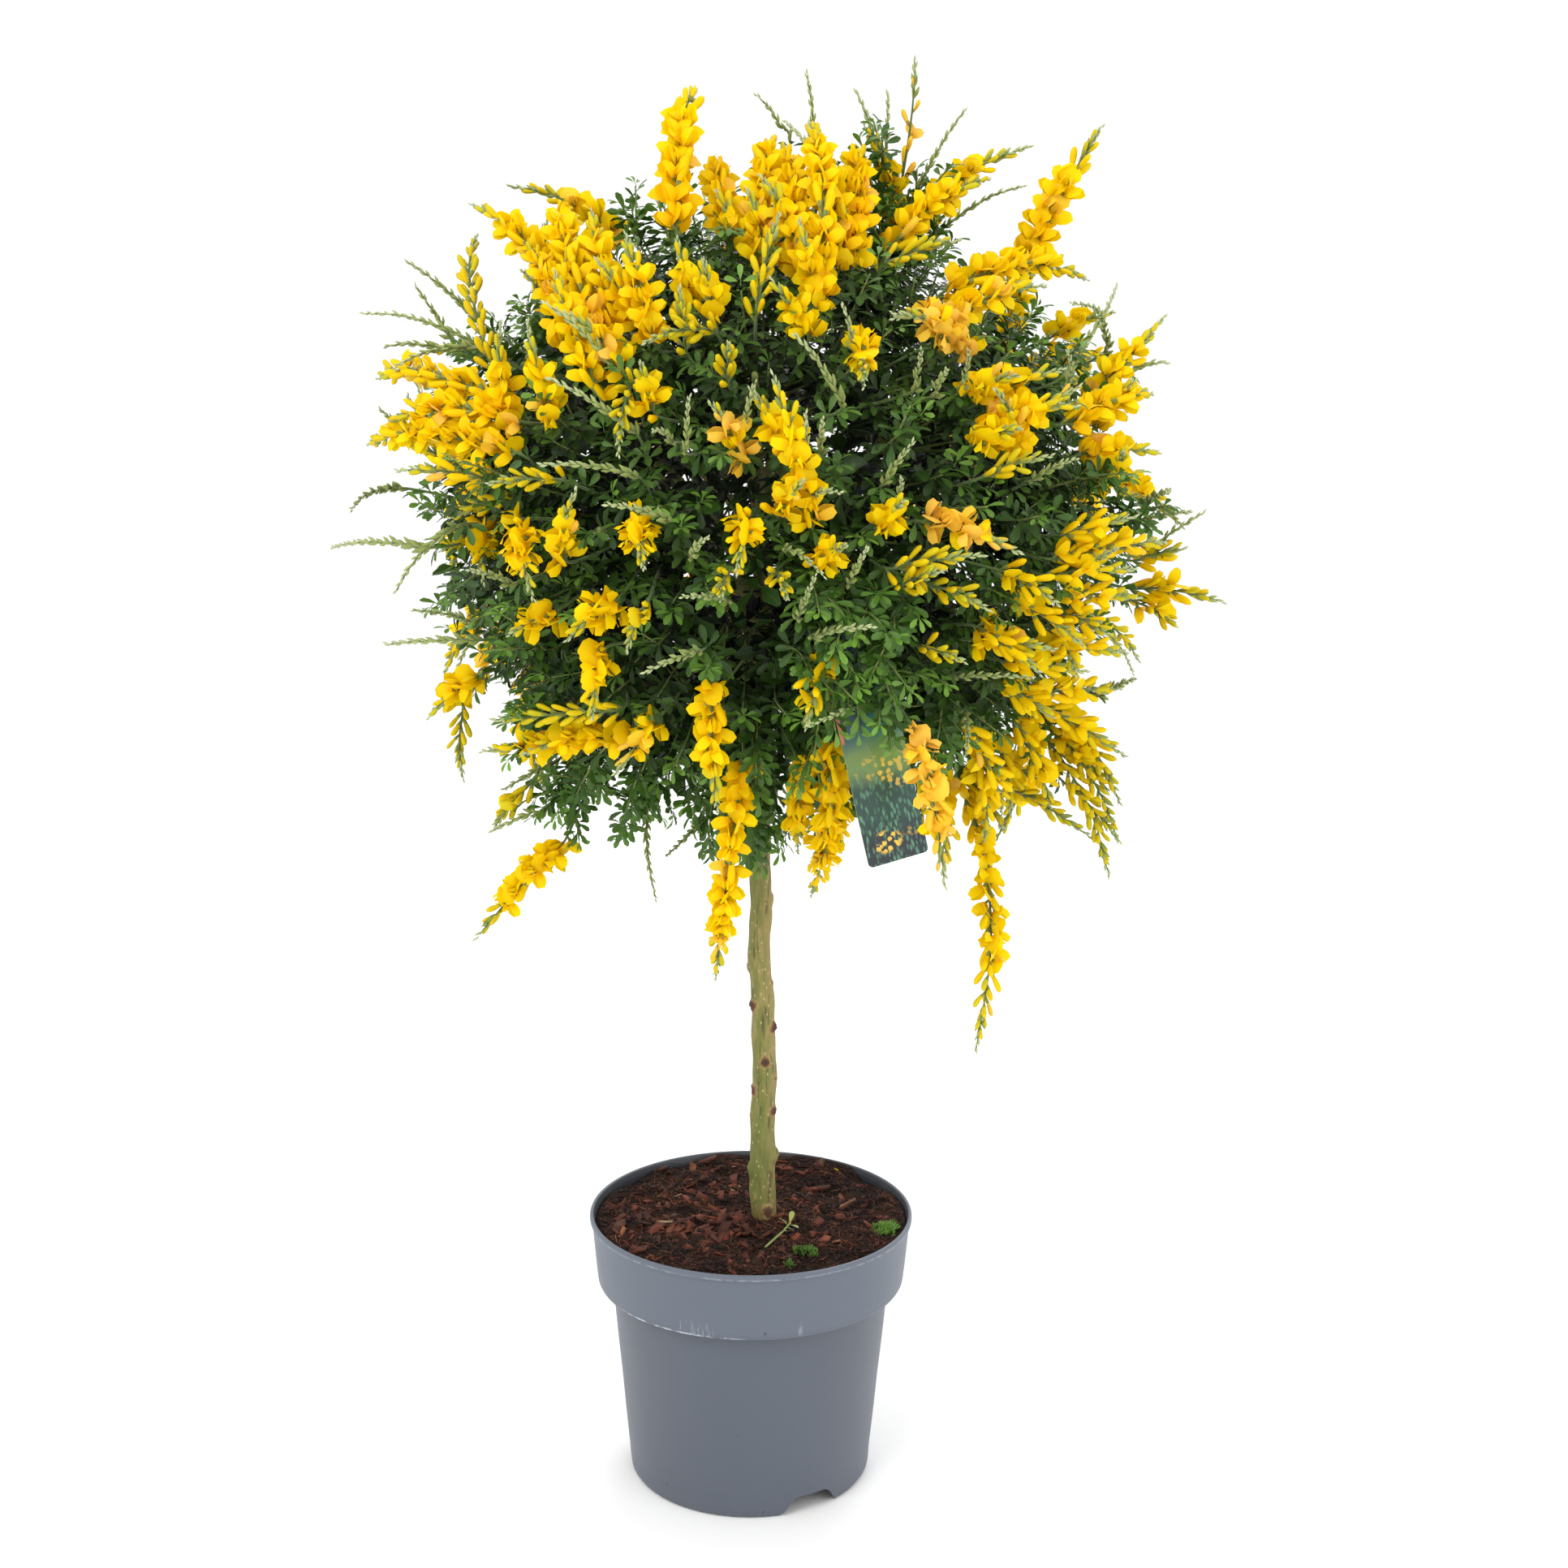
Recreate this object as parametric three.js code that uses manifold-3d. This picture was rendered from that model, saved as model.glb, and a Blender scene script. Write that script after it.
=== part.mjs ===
// Potted standard broom: a grafted stem in a round nursery pot, carrying a ball of leafy
// boughs that end in racemes of yellow pea flowers, with a plain hang label on a twig.
// Millimetres, +Z up, origin at the centre of the pot's foot ring, the front towards -Y.
import * as THREE from "three";
import { mergeVertices } from "three/addons/utils/BufferGeometryUtils.js";
import Module from "manifold-3d";

const wasm = await Module();
wasm.setup();

// Driving dimensions of the pot
const rimRadius = 120;
const potHeight = 202;
const lipWidth = 3.2;
const lipDrop = 5;
const collarTopRadius = 118.4;
const collarFootRadius = 114.2;
const collarFootZ = 152.4;
const shoulderRadius = 103.4; // the collar juts out over the body by a plain ledge
const shoulderZ = 149;
const ledgeRound = 1.3;
const bodyFootRadius = 90.4;
const bodyFootZ = 5;
const footRingRadius = 87;
const footRingWidth = 7;
const floorZ = 6;
const wallThickness = 2.2;
const potSides = 28;
const notchCount = 3;
const notchCentre = 31; // degrees to the right of the front
const notchHalfWidth = 21;
const notchHeight = 14;
const notchDepth = 24;
const drainHoles = 4;
const drainHoleRadius = 6;
const drainRingRadius = 58;

// Soil and stem
const soilZ = 195;
const soilSides = 16;
const fitGap = 0.3;
const stemFootZ = 72;
const stemHoleGap = 0.5;
const stemLowZ = 188; // where the stem is stemLowRadius thick
const stemLowRadius = 9.8;
const stemHeadRadius = 6.8;
const stemHeadZ = 560;
const leaderTopZ = 738;
const leaderTopRadius = 4.4;
const stemSides = 8;
const soilLump = 5.5; // height of the lumps on the soil's top

// Crown: directions are an azimuth from the front and an elevation, with a reach from the
// centre; heights are squashed, since the ball is wider than it is tall
const crownCentre = new THREE.Vector3(8, 0, 715);
const crownSquash = 0.84;
const shootsEach = [2, 1]; // on every other bough
const coreReach = 160;
const coreInnerReach = 100;
const coreOuterReach = 206;
const coreSmallest = 20;
const coreLargest = 72;
const coreStep = 1.5;
const coreLeafLift = 26; // how far a leaf's tip stands off the core
const coreCellGap = 2; // between a core and the half-way face to the next
const coreStemClear = 50; // cores keep this far from the stem's axis
const coreStalkClear = 9; // and from the next bough's own stem
const forkReach = 222;
const forkPlug = 3.4; // half the length of the knuckle that a cluster forks from
const forkRadius = 4.2;
const limbLength = 42;
const limbRadius = 3.8;
const limbTaper = 0.8;
const limbAttachZ = 646; // height where a level limb leaves the leader
const limbAttachRise = 70; // steeper limbs leave this much higher
const limbStagger = 9;
const boughRadius = 2.9;
const boughEndRadius = 2.6;
const crownSteps = 6;

// Flowers and leaves
const flowerLength = 17;
const flowerWidth = 12;
const flowerHeight = 13;
const flowerLean = 22; // least lean towards the tip, in degrees; past 38 the wings would cross
const flowerLeanSpread = 16;
const leafletLength = 16;
const leafScale = 1.35; // larger than life, since one leaf here stands for several
const flowerSpacing = 22;
const flowerWhorlHeight = 3.2;
const firstFlowerAt = 24;
const stalkRadius = 1.5;
const budTipLength = 28;
const budTipRadius = 2.6;
const racemeArch = 9;
const leafWhorlHeight = 2.8;
const leafBeforeTip = 14;
const shootRadius = 1.4;
const budShootTip = 60;
const budShootRadius = 3;
const clearance = 0.7;
const grain = 0.005; // corners are rounded to this
const degree = Math.PI / 180;
const turnStep = 137.5 * degree;

// Hang label and its twig
const cardWidth = 40;
const cardLength = 134;
const cardThickness = 1;
const strapLength = 22;
const strapWidth = 7;
const eyeRadius = 8;
const eyeHoleRadius = 4.4;
const eyeCentre = new THREE.Vector3(61, -206, 676);
const cardCorner = 3;
const labelTilt = 11.5; // degrees from upright
const labelTurn = 14; // degrees to the right of the front
const twigRadius = 2;

// Each ring of boughs: elevation, azimuth of the first and how many stand round it
const boughRings = [
  { elevation: 69, first: -36, count: 3 },
  { elevation: 36, first: -62, count: 6 },
  { elevation: 1, first: -72, count: 8 },
  { elevation: -37, first: -64, count: 7 },
];

// Tips of the flowering racemes that show from the front: azimuth, elevation, reach
const frontRacemes = [
  [-48, 79, 343], [-39, 57, 296], [0, 66, 305], [60, 73, 381], [73, 54, 352],
  [60, 40, 300], [0, 40, 284], [30, 36, 280], [-20, 30, 276], [-50, 47, 334],
  [-66, 44, 316], [-51, 18, 300], [-62, 10, 306], [-36, 0, 284], [2, 20, 286],
  [6, 0, 288], [-14, -2, 284], [34, 1, 284], [20, 10, 280], [59, 13, 298],
  [78, 4, 303], [77, -10, 308], [50, -2, 290], [55, -16, 304], [42, -22, 290],
  [61, -31, 320], [66, -44, 352], [44, -61, 408], [34, -37, 306], [9, -52, 326],
  [-13, -70, 372], [-12, -40, 300], [-55, -54, 388], [-40, -30, 326], [-62, -34, 326],
  [-46, -20, 312], [-28, -28, 286], [-80, -4, 311],
];

// Tips of the slender shoots still in green bud: azimuth, elevation, reach
const budShoots = [
  [-3, 67, 350], [20, 72, 352], [74, 60, 345], [-60, 34, 332], [-58, 4, 318],
  [84, 36, 318], [72, 26, 306], [-47, -12, 318], [-18, -52, 336], [-46, -44, 330],
  [-84, 12, 318], [150, 58, 330], [200, 62, 336], [110, 30, 318], [176, 22, 316],
  [236, 30, 318], [132, -8, 312], [214, -14, 316], [266, -20, 314], [96, -34, 322],
  [170, -48, 330], [240, -50, 326],
];

// Knots on the stem: height, degrees from the front, size
const knots = [
  [233, -80, 4.2], [245, 70, 4.6], [281, 84, 4.2], [297, -86, 4], [320, 4, 4],
  [345, 82, 4.4], [362, -78, 4.4], [389, -96, 3], [401, 10, 3], [441, 90, 3.4],
];

// Small seeded generator, so that every draw is the same each time
function makeRandom(seed) {
  let state = seed;
  return () => {
    state = (state + 0x6d2b79f5) | 0;
    let t = Math.imul(state ^ (state >>> 15), 1 | state);
    t = (t + Math.imul(t ^ (t >>> 7), 61 | t)) ^ t;
    return ((t ^ (t >>> 14)) >>> 0) / 4294967296;
  };
}

function direction(azimuth, elevation) {
  const a = azimuth * degree;
  const e = elevation * degree;
  return new THREE.Vector3(Math.sin(a) * Math.cos(e), -Math.cos(a) * Math.cos(e), Math.sin(e));
}

function crownPoint(dir, reach) {
  const out = new THREE.Vector3(dir.x, dir.y, dir.z * crownSquash);
  return out.multiplyScalar(reach).add(crownCentre);
}

function turned(from, to, share) {
  const angle = from.angleTo(to);
  if (angle < 1e-4) return from.clone();
  const a = Math.sin((1 - share) * angle) / Math.sin(angle);
  const b = Math.sin(share * angle) / Math.sin(angle);
  return from.clone().multiplyScalar(a).addScaledVector(to, b).normalize();
}

// A growing list of corners and faces that closes into one solid
function newShell() {
  return { corners: [], faces: [] };
}

function addCorner(shell, point) {
  shell.corners.push(point.x, point.y, point.z);
  return shell.corners.length / 3 - 1;
}

function solidOf(shell) {
  const mesh = new wasm.Mesh({
    numProp: 3,
    vertProperties: new Float32Array(shell.corners),
    triVerts: new Uint32Array(shell.faces.flat()),
  });
  return new wasm.Manifold(mesh);
}

function solidOfGeometry(geometry) {
  const bare = geometry.clone();
  bare.deleteAttribute("normal");
  bare.deleteAttribute("uv");
  const merged = mergeVertices(bare, 1e-4);
  return new wasm.Manifold(
    new wasm.Mesh({
      numProp: 3,
      vertProperties: merged.attributes.position.array,
      triVerts: new Uint32Array(merged.index.array),
    }),
  );
}

function joinAll(solids) {
  return solids.slice(1).reduce((whole, next) => whole.add(next), solids[0]);
}

// The largest body of a joined solid, its corners rounded so that none lie a hair apart
function largestBody(solid) {
  const body = solid.decompose().sort((a, b) => b.volume() - a.volume())[0];
  const mesh = body.getMesh();
  const shell = newShell();
  const known = new Map();
  const corners = Array.from({ length: mesh.numVert }, (_, i) => {
    const corner = mesh.vertProperties.subarray(i * 3, i * 3 + 3);
    const at = Array.from(corner, (v) => Math.round(v / grain) * grain);
    const key = at.map((v) => v.toFixed(3)).join();
    if (!known.has(key)) known.set(key, addCorner(shell, new THREE.Vector3(...at)));
    return known.get(key);
  });
  for (let i = 0; i < mesh.triVerts.length; i += 3) {
    const face = Array.from(mesh.triVerts.subarray(i, i + 3), (v) => corners[v]);
    if (new Set(face).size === 3) shell.faces.push(face);
  }
  return solidOf(shell);
}

function geometryOf(solid) {
  const mesh = solid.getMesh();
  const geometry = new THREE.BufferGeometry();
  geometry.setAttribute("position", new THREE.BufferAttribute(mesh.vertProperties, 3));
  geometry.setIndex(new THREE.BufferAttribute(mesh.triVerts, 1));
  geometry.computeVertexNormals();
  return geometry;
}

// Side vectors carried along a path without twist
function framesAlong(points) {
  const frames = [];
  let side = null;
  points.forEach((point, i) => {
    const before = points[Math.max(i - 1, 0)];
    const after = points[Math.min(i + 1, points.length - 1)];
    const along = after.clone().sub(before).normalize();
    if (!side) {
      const helper = Math.abs(along.z) < 0.9 ? new THREE.Vector3(0, 0, 1) : new THREE.Vector3(1, 0, 0);
      side = helper.cross(along).normalize();
    }
    side = side.clone().addScaledVector(along, -side.dot(along)).normalize();
    frames.push({ point, along, side, across: along.clone().cross(side) });
  });
  return frames;
}

function ringCorner(frame, radius, angle) {
  return frame.point
    .clone()
    .addScaledVector(frame.side, Math.cos(angle) * radius)
    .addScaledVector(frame.across, Math.sin(angle) * radius);
}

// Round limb with flat ends along a path
function limb(points, radii, sides) {
  const shell = newShell();
  const rings = framesAlong(points).map((frame, i) =>
    Array.from({ length: sides }, (_, k) =>
      addCorner(shell, ringCorner(frame, radii[i], (k / sides) * 2 * Math.PI)),
    ),
  );
  for (let k = 1; k < sides - 1; k++) {
    const last = rings[rings.length - 1];
    shell.faces.push([rings[0][0], rings[0][k + 1], rings[0][k]]);
    shell.faces.push([last[0], last[k], last[k + 1]]);
  }
  for (let j = 0; j < rings.length - 1; j++) {
    for (let k = 0; k < sides; k++) {
      const n = (k + 1) % sides;
      shell.faces.push([rings[j][k], rings[j][n], rings[j + 1][n]]);
      shell.faces.push([rings[j][k], rings[j + 1][n], rings[j + 1][k]]);
    }
  }
  return solidOf(shell);
}

// Everything already placed, as balls, so that pieces of two nodes never meet
const placed = [];

function keep(owner, point, radius) {
  placed.push({ owner, x: point.x, y: point.y, z: point.z, radius });
}

// Whether a ball might touch the leafy core of another bough than its owner
function nearOtherCore(owner, point, radius) {
  if (reachOf(point) > coreOuterReach + radius) return false;
  const own = boughs.find((b) => owner.startsWith(b.owner));
  const ownDistance = own ? own.core.distanceTo(point) + 2 * radius + 1 : Infinity;
  return boughs.some((b) => b !== own && b.core.distanceTo(point) < ownDistance);
}

function isClear(owner, point, radius) {
  if (nearOtherCore(owner, point, radius)) return false;
  return placed.every((ball) => {
    if (ball.owner.startsWith(owner)) return true;
    const reach = ball.radius + radius + clearance;
    const dx = ball.x - point.x;
    const dy = ball.y - point.y;
    const dz = ball.z - point.z;
    return dx * dx + dy * dy + dz * dz > reach * reach;
  });
}

// The organs replace one side face of a three-sided stalk. Its corners are a, b (lower) and
// c, d (upper), and the local frame is side, along and out
function organFrame(corners, lean) {
  const base = corners.reduce((sum, c) => sum.add(c), new THREE.Vector3()).multiplyScalar(0.25);
  const side = corners[1].clone().sub(corners[0]).normalize();
  const along = corners[3].clone().sub(corners[0]).normalize();
  const out = side.clone().cross(along).normalize();
  const axis = out.clone().multiplyScalar(Math.cos(lean)).addScaledVector(along, Math.sin(lean));
  return { base, side, axis, upper: axis.clone().cross(side) };
}

function placeIn(frame, across, forward, up) {
  return frame.base
    .clone()
    .addScaledVector(frame.side, across)
    .addScaledVector(frame.axis, forward)
    .addScaledVector(frame.upper, up);
}

// Pea flower: a broad upright standard petal above a narrow keel
function flower(lean, scale) {
  const length = flowerLength * scale;
  const wide = (flowerWidth / 2) * scale;
  const high = flowerHeight * scale;
  return {
    balls: [
      [0, length * 0.45, 0.1 * high, 5.2 * scale],
      [0, length * 0.72, 0.28 * high, 6.4 * scale],
    ],
    lean,
    build(shell, q, frame) {
      const keel = addCorner(shell, placeIn(frame, 0, length, -0.3 * high));
      const right = addCorner(shell, placeIn(frame, wide, 0.72 * length, 0.6 * high));
      const left = addCorner(shell, placeIn(frame, -wide, 0.72 * length, 0.6 * high));
      shell.faces.push([q[0], q[1], keel], [q[1], q[2], right], [q[1], right, keel]);
      shell.faces.push([q[2], q[3], left], [q[2], left, right], [q[3], q[0], left]);
      shell.faces.push([q[0], keel, left], [keel, right, left]);
    },
  };
}

// Trifoliate leaf: one arched blade cut into three leaflets, thick along its middle
function leaf(lean, scale) {
  const s = (leafletLength * scale) / 16;
  const outline = [[-15, 8, -2.4], [-5, 13.6, -0.4], [0, 25, -2.8], [5, 13.6, -0.4], [15, 8, -2.4]];
  return {
    balls: [
      [-9, 8, -1, 5.6], [9, 8, -1, 5.6], [0, 8, 0, 4.5], [0, 15, -1, 4.6], [0, 21, -2, 2.8],
      [-14, 10.6, -2, 2], [14, 10.6, -2, 2],
    ].map((ball) => ball.map((v) => v * s)),
    lean,
    build(shell, q, frame) {
      const top = addCorner(shell, placeIn(frame, 0, 7 * s, 1.1));
      const under = addCorner(shell, placeIn(frame, 0, 7 * s, -0.3));
      const edge = outline.map((p) => addCorner(shell, placeIn(frame, p[0] * s, p[1] * s, p[2] * s)));
      const last = edge.length - 1;
      shell.faces.push([q[2], q[3], top], [q[3], edge[0], top], [edge[last], q[2], top]);
      shell.faces.push([q[0], q[1], under], [q[1], edge[last], under], [edge[0], q[0], under]);
      shell.faces.push([q[1], q[2], edge[last]], [q[3], q[0], edge[0]]);
      for (let i = 0; i < last; i++) {
        shell.faces.push([edge[i], edge[i + 1], top], [edge[i + 1], edge[i], under]);
      }
    },
  };
}

function organFits(owner, corners, organ) {
  const frame = organFrame(corners, organ.lean);
  return organ.balls.every((b) => isClear(owner, placeIn(frame, b[0], b[1], b[2]), b[3]));
}

// Three-sided stalk with an organ on each side face of every whorl, and a spindle of buds at
// its tip. stations holds the curve shares of the lower edge of each whorl
function sprig(owner, curve, options) {
  const { whorls, makeOrgan, whorlHeight, tipLength, tipRadius, radius, twist } = options;
  const length = curve.getLength();
  const shares = [{ at: 0, radius }];
  whorls.forEach((start, w) => {
    shares.push({ at: start / length, radius, whorl: w });
    shares.push({ at: (start + whorlHeight) / length, radius: radius * 0.92 });
  });
  if (tipRadius) shares.push({ at: 1 - (tipLength * 0.55) / length, radius: tipRadius });
  const frames = framesAlong(shares.map((s) => curve.getPointAt(Math.min(Math.max(s.at, 0), 1))));
  const tip = curve.getPointAt(1);
  const shell = newShell();
  let turn = options.turn;
  const rings = shares.map((share, i) => {
    if (share.whorl !== undefined) turn += twist;
    return [0, 1, 2].map((k) =>
      addCorner(shell, ringCorner(frames[i], share.radius, turn + (k * 2 * Math.PI) / 3)),
    );
  });
  shell.faces.push([rings[0][2], rings[0][1], rings[0][0]]);
  for (let j = 0; j < rings.length - 1; j++) {
    for (let k = 0; k < 3; k++) {
      const n = (k + 1) % 3;
      const q = [rings[j][k], rings[j][n], rings[j + 1][n], rings[j + 1][k]];
      const organ = shares[j].whorl === undefined ? null : makeOrgan(shares[j].whorl, k);
      const corners = q.map((c) => new THREE.Vector3().fromArray(shell.corners, c * 3));
      if (organ && organFits(owner, corners, organ)) {
        const frame = organFrame(corners, organ.lean);
        organ.balls.forEach((b) => keep(owner, placeIn(frame, b[0], b[1], b[2]), b[3]));
        organ.build(shell, q, frame);
      } else {
        shell.faces.push([q[0], q[1], q[3]], [q[1], q[2], q[3]]);
      }
    }
  }
  const end = rings[rings.length - 1];
  const point = addCorner(shell, tip);
  [0, 1, 2].forEach((k) => shell.faces.push([end[k], end[(k + 1) % 3], point]));
  return solidOf(shell);
}

function stalkBalls(curve, from, radius) {
  const steps = Math.ceil(curve.getLength() / 5);
  return Array.from({ length: steps + 1 }, (_, i) => i / steps)
    .filter((share) => share * curve.getLength() >= from)
    .map((share) => ({ point: curve.getPointAt(share), radius }));
}

function keepStalk(owner, curve, from, radius) {
  stalkBalls(curve, from, radius).forEach((b) => keep(owner, b.point, b.radius));
}

function stalkIsClear(owner, curve, from, radius) {
  return stalkBalls(curve, from, radius).every((b) => isClear(owner, b.point, b.radius));
}

// Pot: lathed wall and floor, with drain holes and side notches cut through the foot
function makePot() {
  const profile = [
    [0, floorZ],
    [footRingRadius - footRingWidth - 2, floorZ],
    [footRingRadius - footRingWidth, 0],
    [footRingRadius, 0],
    [bodyFootRadius, bodyFootZ],
    [shoulderRadius, shoulderZ],
    [collarFootRadius - ledgeRound, collarFootZ - ledgeRound],
    [collarFootRadius, collarFootZ],
    [collarTopRadius, potHeight - lipDrop],
    [rimRadius, potHeight - lipDrop + 0.5],
    [rimRadius, potHeight],
    [rimRadius - lipWidth, potHeight],
    [collarTopRadius - wallThickness, potHeight - lipDrop],
    [collarFootRadius - wallThickness, collarFootZ + wallThickness],
    [shoulderRadius - wallThickness, shoulderZ + wallThickness],
    [bodyFootRadius - wallThickness, floorZ + wallThickness],
    [0, floorZ + wallThickness],
  ];
  const points = profile.map((p) => new THREE.Vector2(p[0], p[1]));
  const lathe = new THREE.LatheGeometry(points, potSides).rotateX(Math.PI / 2);
  let pot = solidOfGeometry(lathe);
  for (let i = 0; i < drainHoles; i++) {
    const angle = (i / drainHoles) * 2 * Math.PI;
    const hole = new THREE.CylinderGeometry(drainHoleRadius, drainHoleRadius, 20, 6).rotateX(Math.PI / 2);
    hole.translate(Math.cos(angle) * drainRingRadius, Math.sin(angle) * drainRingRadius, floorZ);
    pot = pot.subtract(solidOfGeometry(hole));
  }
  for (let i = 0; i < notchCount; i++) {
    pot = pot.subtract(solidOfGeometry(notchCutter((notchCentre + (i * 360) / notchCount) * degree)));
  }
  return geometryOf(pot);
}

// Flat-topped arch through the foot, wider at the bottom
function notchCutter(azimuth) {
  const shape = new THREE.Shape();
  shape.moveTo(-notchHalfWidth - 4, -1);
  shape.lineTo(notchHalfWidth + 4, -1);
  shape.lineTo(notchHalfWidth - 5, notchHeight - 2);
  shape.lineTo(notchHalfWidth - 9, notchHeight);
  shape.lineTo(-notchHalfWidth + 9, notchHeight);
  shape.lineTo(-notchHalfWidth + 5, notchHeight - 2);
  const cutter = new THREE.ExtrudeGeometry(shape, { depth: notchDepth, bevelEnabled: false });
  cutter.rotateX(Math.PI / 2);
  cutter.translate(0, -footRingRadius + footRingWidth + 6, 0);
  return cutter.rotateZ(azimuth);
}

// Soil: fills the pot to just under the rim, lumpy on top, with a plain hole for the stem
function makeSoil() {
  const random = makeRandom(11);
  const inset = wallThickness + 2; // clear of the flats of the pot's wall
  const profile = [
    [0, floorZ + wallThickness + fitGap],
    [bodyFootRadius - inset - 1, floorZ + wallThickness + fitGap],
    [shoulderRadius - inset, collarFootZ + wallThickness + fitGap],
    [collarFootRadius - inset - 1.4, collarFootZ + wallThickness + 1],
    [collarTopRadius - inset - 1, soilZ - 3],
    [92, soilZ],
    [66, soilZ],
    [40, soilZ + 1],
    [stemLowRadius + 12, soilZ + 1.5],
    [0, soilZ + 2],
  ];
  const points = profile.map((p) => new THREE.Vector2(p[0], p[1]));
  const lathe = new THREE.LatheGeometry(points, soilSides).rotateX(Math.PI / 2);
  lathe.deleteAttribute("normal");
  lathe.deleteAttribute("uv");
  const soil = mergeVertices(lathe, 1e-3);
  const place = soil.attributes.position;
  for (let i = 0; i < place.count; i++) {
    if (place.getZ(i) < soilZ - 1) continue;
    place.setZ(i, place.getZ(i) + (random() - 0.5) * soilLump);
  }
  const holeRadius = stemLowRadius + stemHoleGap + 0.4; // a little over, for the flats
  const holePath = [stemCentre(stemFootZ - stemHoleGap), stemCentre(soilZ + 12)];
  const hole = limb(holePath, [holeRadius, holeRadius], stemSides);
  return geometryOf(solidOfGeometry(soil).subtract(hole));
}

// Centre line of the stem: it leans back a little to the left as it rises
function stemCentre(z) {
  const share = (z - stemLowZ) / (stemHeadZ - stemLowZ);
  return new THREE.Vector3(7.4 - 3.6 * share + 4.5 * Math.max(share - 1, 0), 0, z);
}

function stemRadius(z) {
  const share = Math.min(Math.max((z - stemLowZ) / (stemHeadZ - stemLowZ), 0), 1);
  if (z <= stemHeadZ) return stemLowRadius + (stemHeadRadius - stemLowRadius) * share;
  return stemHeadRadius + ((leaderTopRadius - stemHeadRadius) * (z - stemHeadZ)) / (leaderTopZ - stemHeadZ);
}

function makeBoughPlan() {
  const random = makeRandom(5);
  const plan = [];
  boughRings.forEach((ring) => {
    for (let i = 0; i < ring.count; i++) {
      const wobble = (random() - 0.5) * 6;
      const dir = direction(ring.first + (i * 360) / ring.count, ring.elevation + wobble);
      const core = crownPoint(dir, coreReach);
      const outward = core.clone().sub(crownCentre).normalize();
      const plug = crownPoint(dir, forkReach);
      const attachZ = limbAttachZ + limbAttachRise * dir.z + (i % 3) * limbStagger;
      plan.push({ owner: `bough${plan.length}.`, dir, core, outward, plug, attachZ });
    }
  });
  return plan;
}

function reachOf(point) {
  const off = point.clone().sub(crownCentre);
  off.z /= crownSquash;
  return off.length();
}

// Whether a point can belong to the leafy core of this bough: nearer to it than to any other,
// inside the crown and clear of the stem
function inCore(bough, point) {
  const reach = reachOf(point);
  if (reach < coreInnerReach || reach > coreOuterReach) return false;
  const besideStem = Math.hypot(point.x - crownCentre.x, point.y) < coreStemClear;
  if (besideStem && point.z < leaderTopZ + 40) return false;
  const own = bough.core.distanceTo(point);
  return boughs.every((b) => {
    if (b === bough) return true;
    return b.core.distanceTo(point) > own + coreCellGap && !nearStalk(b, point);
  });
}

function nearStalk(bough, point) {
  const line = new THREE.Line3(bough.limbEnd, bough.core);
  const foot = line.closestPointToPoint(point, true, new THREE.Vector3());
  return foot.distanceTo(point) < coreStalkClear;
}

const boughs = makeBoughPlan();

// Stem, leader and limbs, grown as one piece, each limb cut square where its bough begins
function makeStem() {
  const heights = [stemFootZ, stemLowZ, 310, 440, stemHeadZ, 650, leaderTopZ];
  const solids = [limb(heights.map(stemCentre), heights.map(stemRadius), stemSides)];
  knots.forEach(([z, around, size]) => {
    const knot = new THREE.OctahedronGeometry(size).scale(1, 1, 1.3);
    const dir = direction(around, 0).multiplyScalar(stemRadius(z) - 0.4);
    const at = stemCentre(z).add(dir);
    knot.translate(at.x, at.y, at.z);
    solids.push(solidOfGeometry(knot));
  });
  boughs.forEach((bough) => {
    const centre = stemCentre(bough.attachZ);
    const dir = bough.core.clone().sub(centre).normalize();
    const root = centre.clone().addScaledVector(dir, 2);
    const end = centre.clone().addScaledVector(dir, limbLength);
    bough.limbEnd = end;
    bough.limbDir = dir;
    solids.push(limb([root, end], [limbRadius, limbRadius * limbTaper], 3));
    keepStalk("stem", new THREE.LineCurve3(root, end), 0, limbRadius);
  });
  return geometryOf(joinAll(solids));
}

// Leafy core of a bough: a lump grown until it would meet the next bough's, every outer face
// of which is raised into a leaf
function coreOf(bough, random) {
  const geometry = new THREE.OctahedronGeometry(1, 2);
  geometry.deleteAttribute("normal");
  geometry.deleteAttribute("uv");
  const ball = mergeVertices(geometry, 1e-3);
  const upright = new THREE.Quaternion().setFromUnitVectors(new THREE.Vector3(0, 0, 1), bough.outward);
  ball.applyQuaternion(upright);
  const place = ball.attributes.position;
  const shell = newShell();
  for (let i = 0; i < place.count; i++) {
    const out = new THREE.Vector3().fromBufferAttribute(place, i).normalize();
    const pointAt = (distance) => bough.core.clone().addScaledVector(out, distance);
    let size = coreSmallest;
    while (size < coreLargest && inCore(bough, pointAt(size + coreStep))) size += coreStep;
    addCorner(shell, pointAt(size * (0.9 + 0.1 * random())));
  }
  for (let i = 0; i < ball.index.count; i += 3) {
    const face = Array.from(ball.index.array.subarray(i, i + 3));
    if (!raiseLeaf(shell, bough, face, random)) shell.faces.push(face);
  }
  return solidOf(shell);
}

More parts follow.
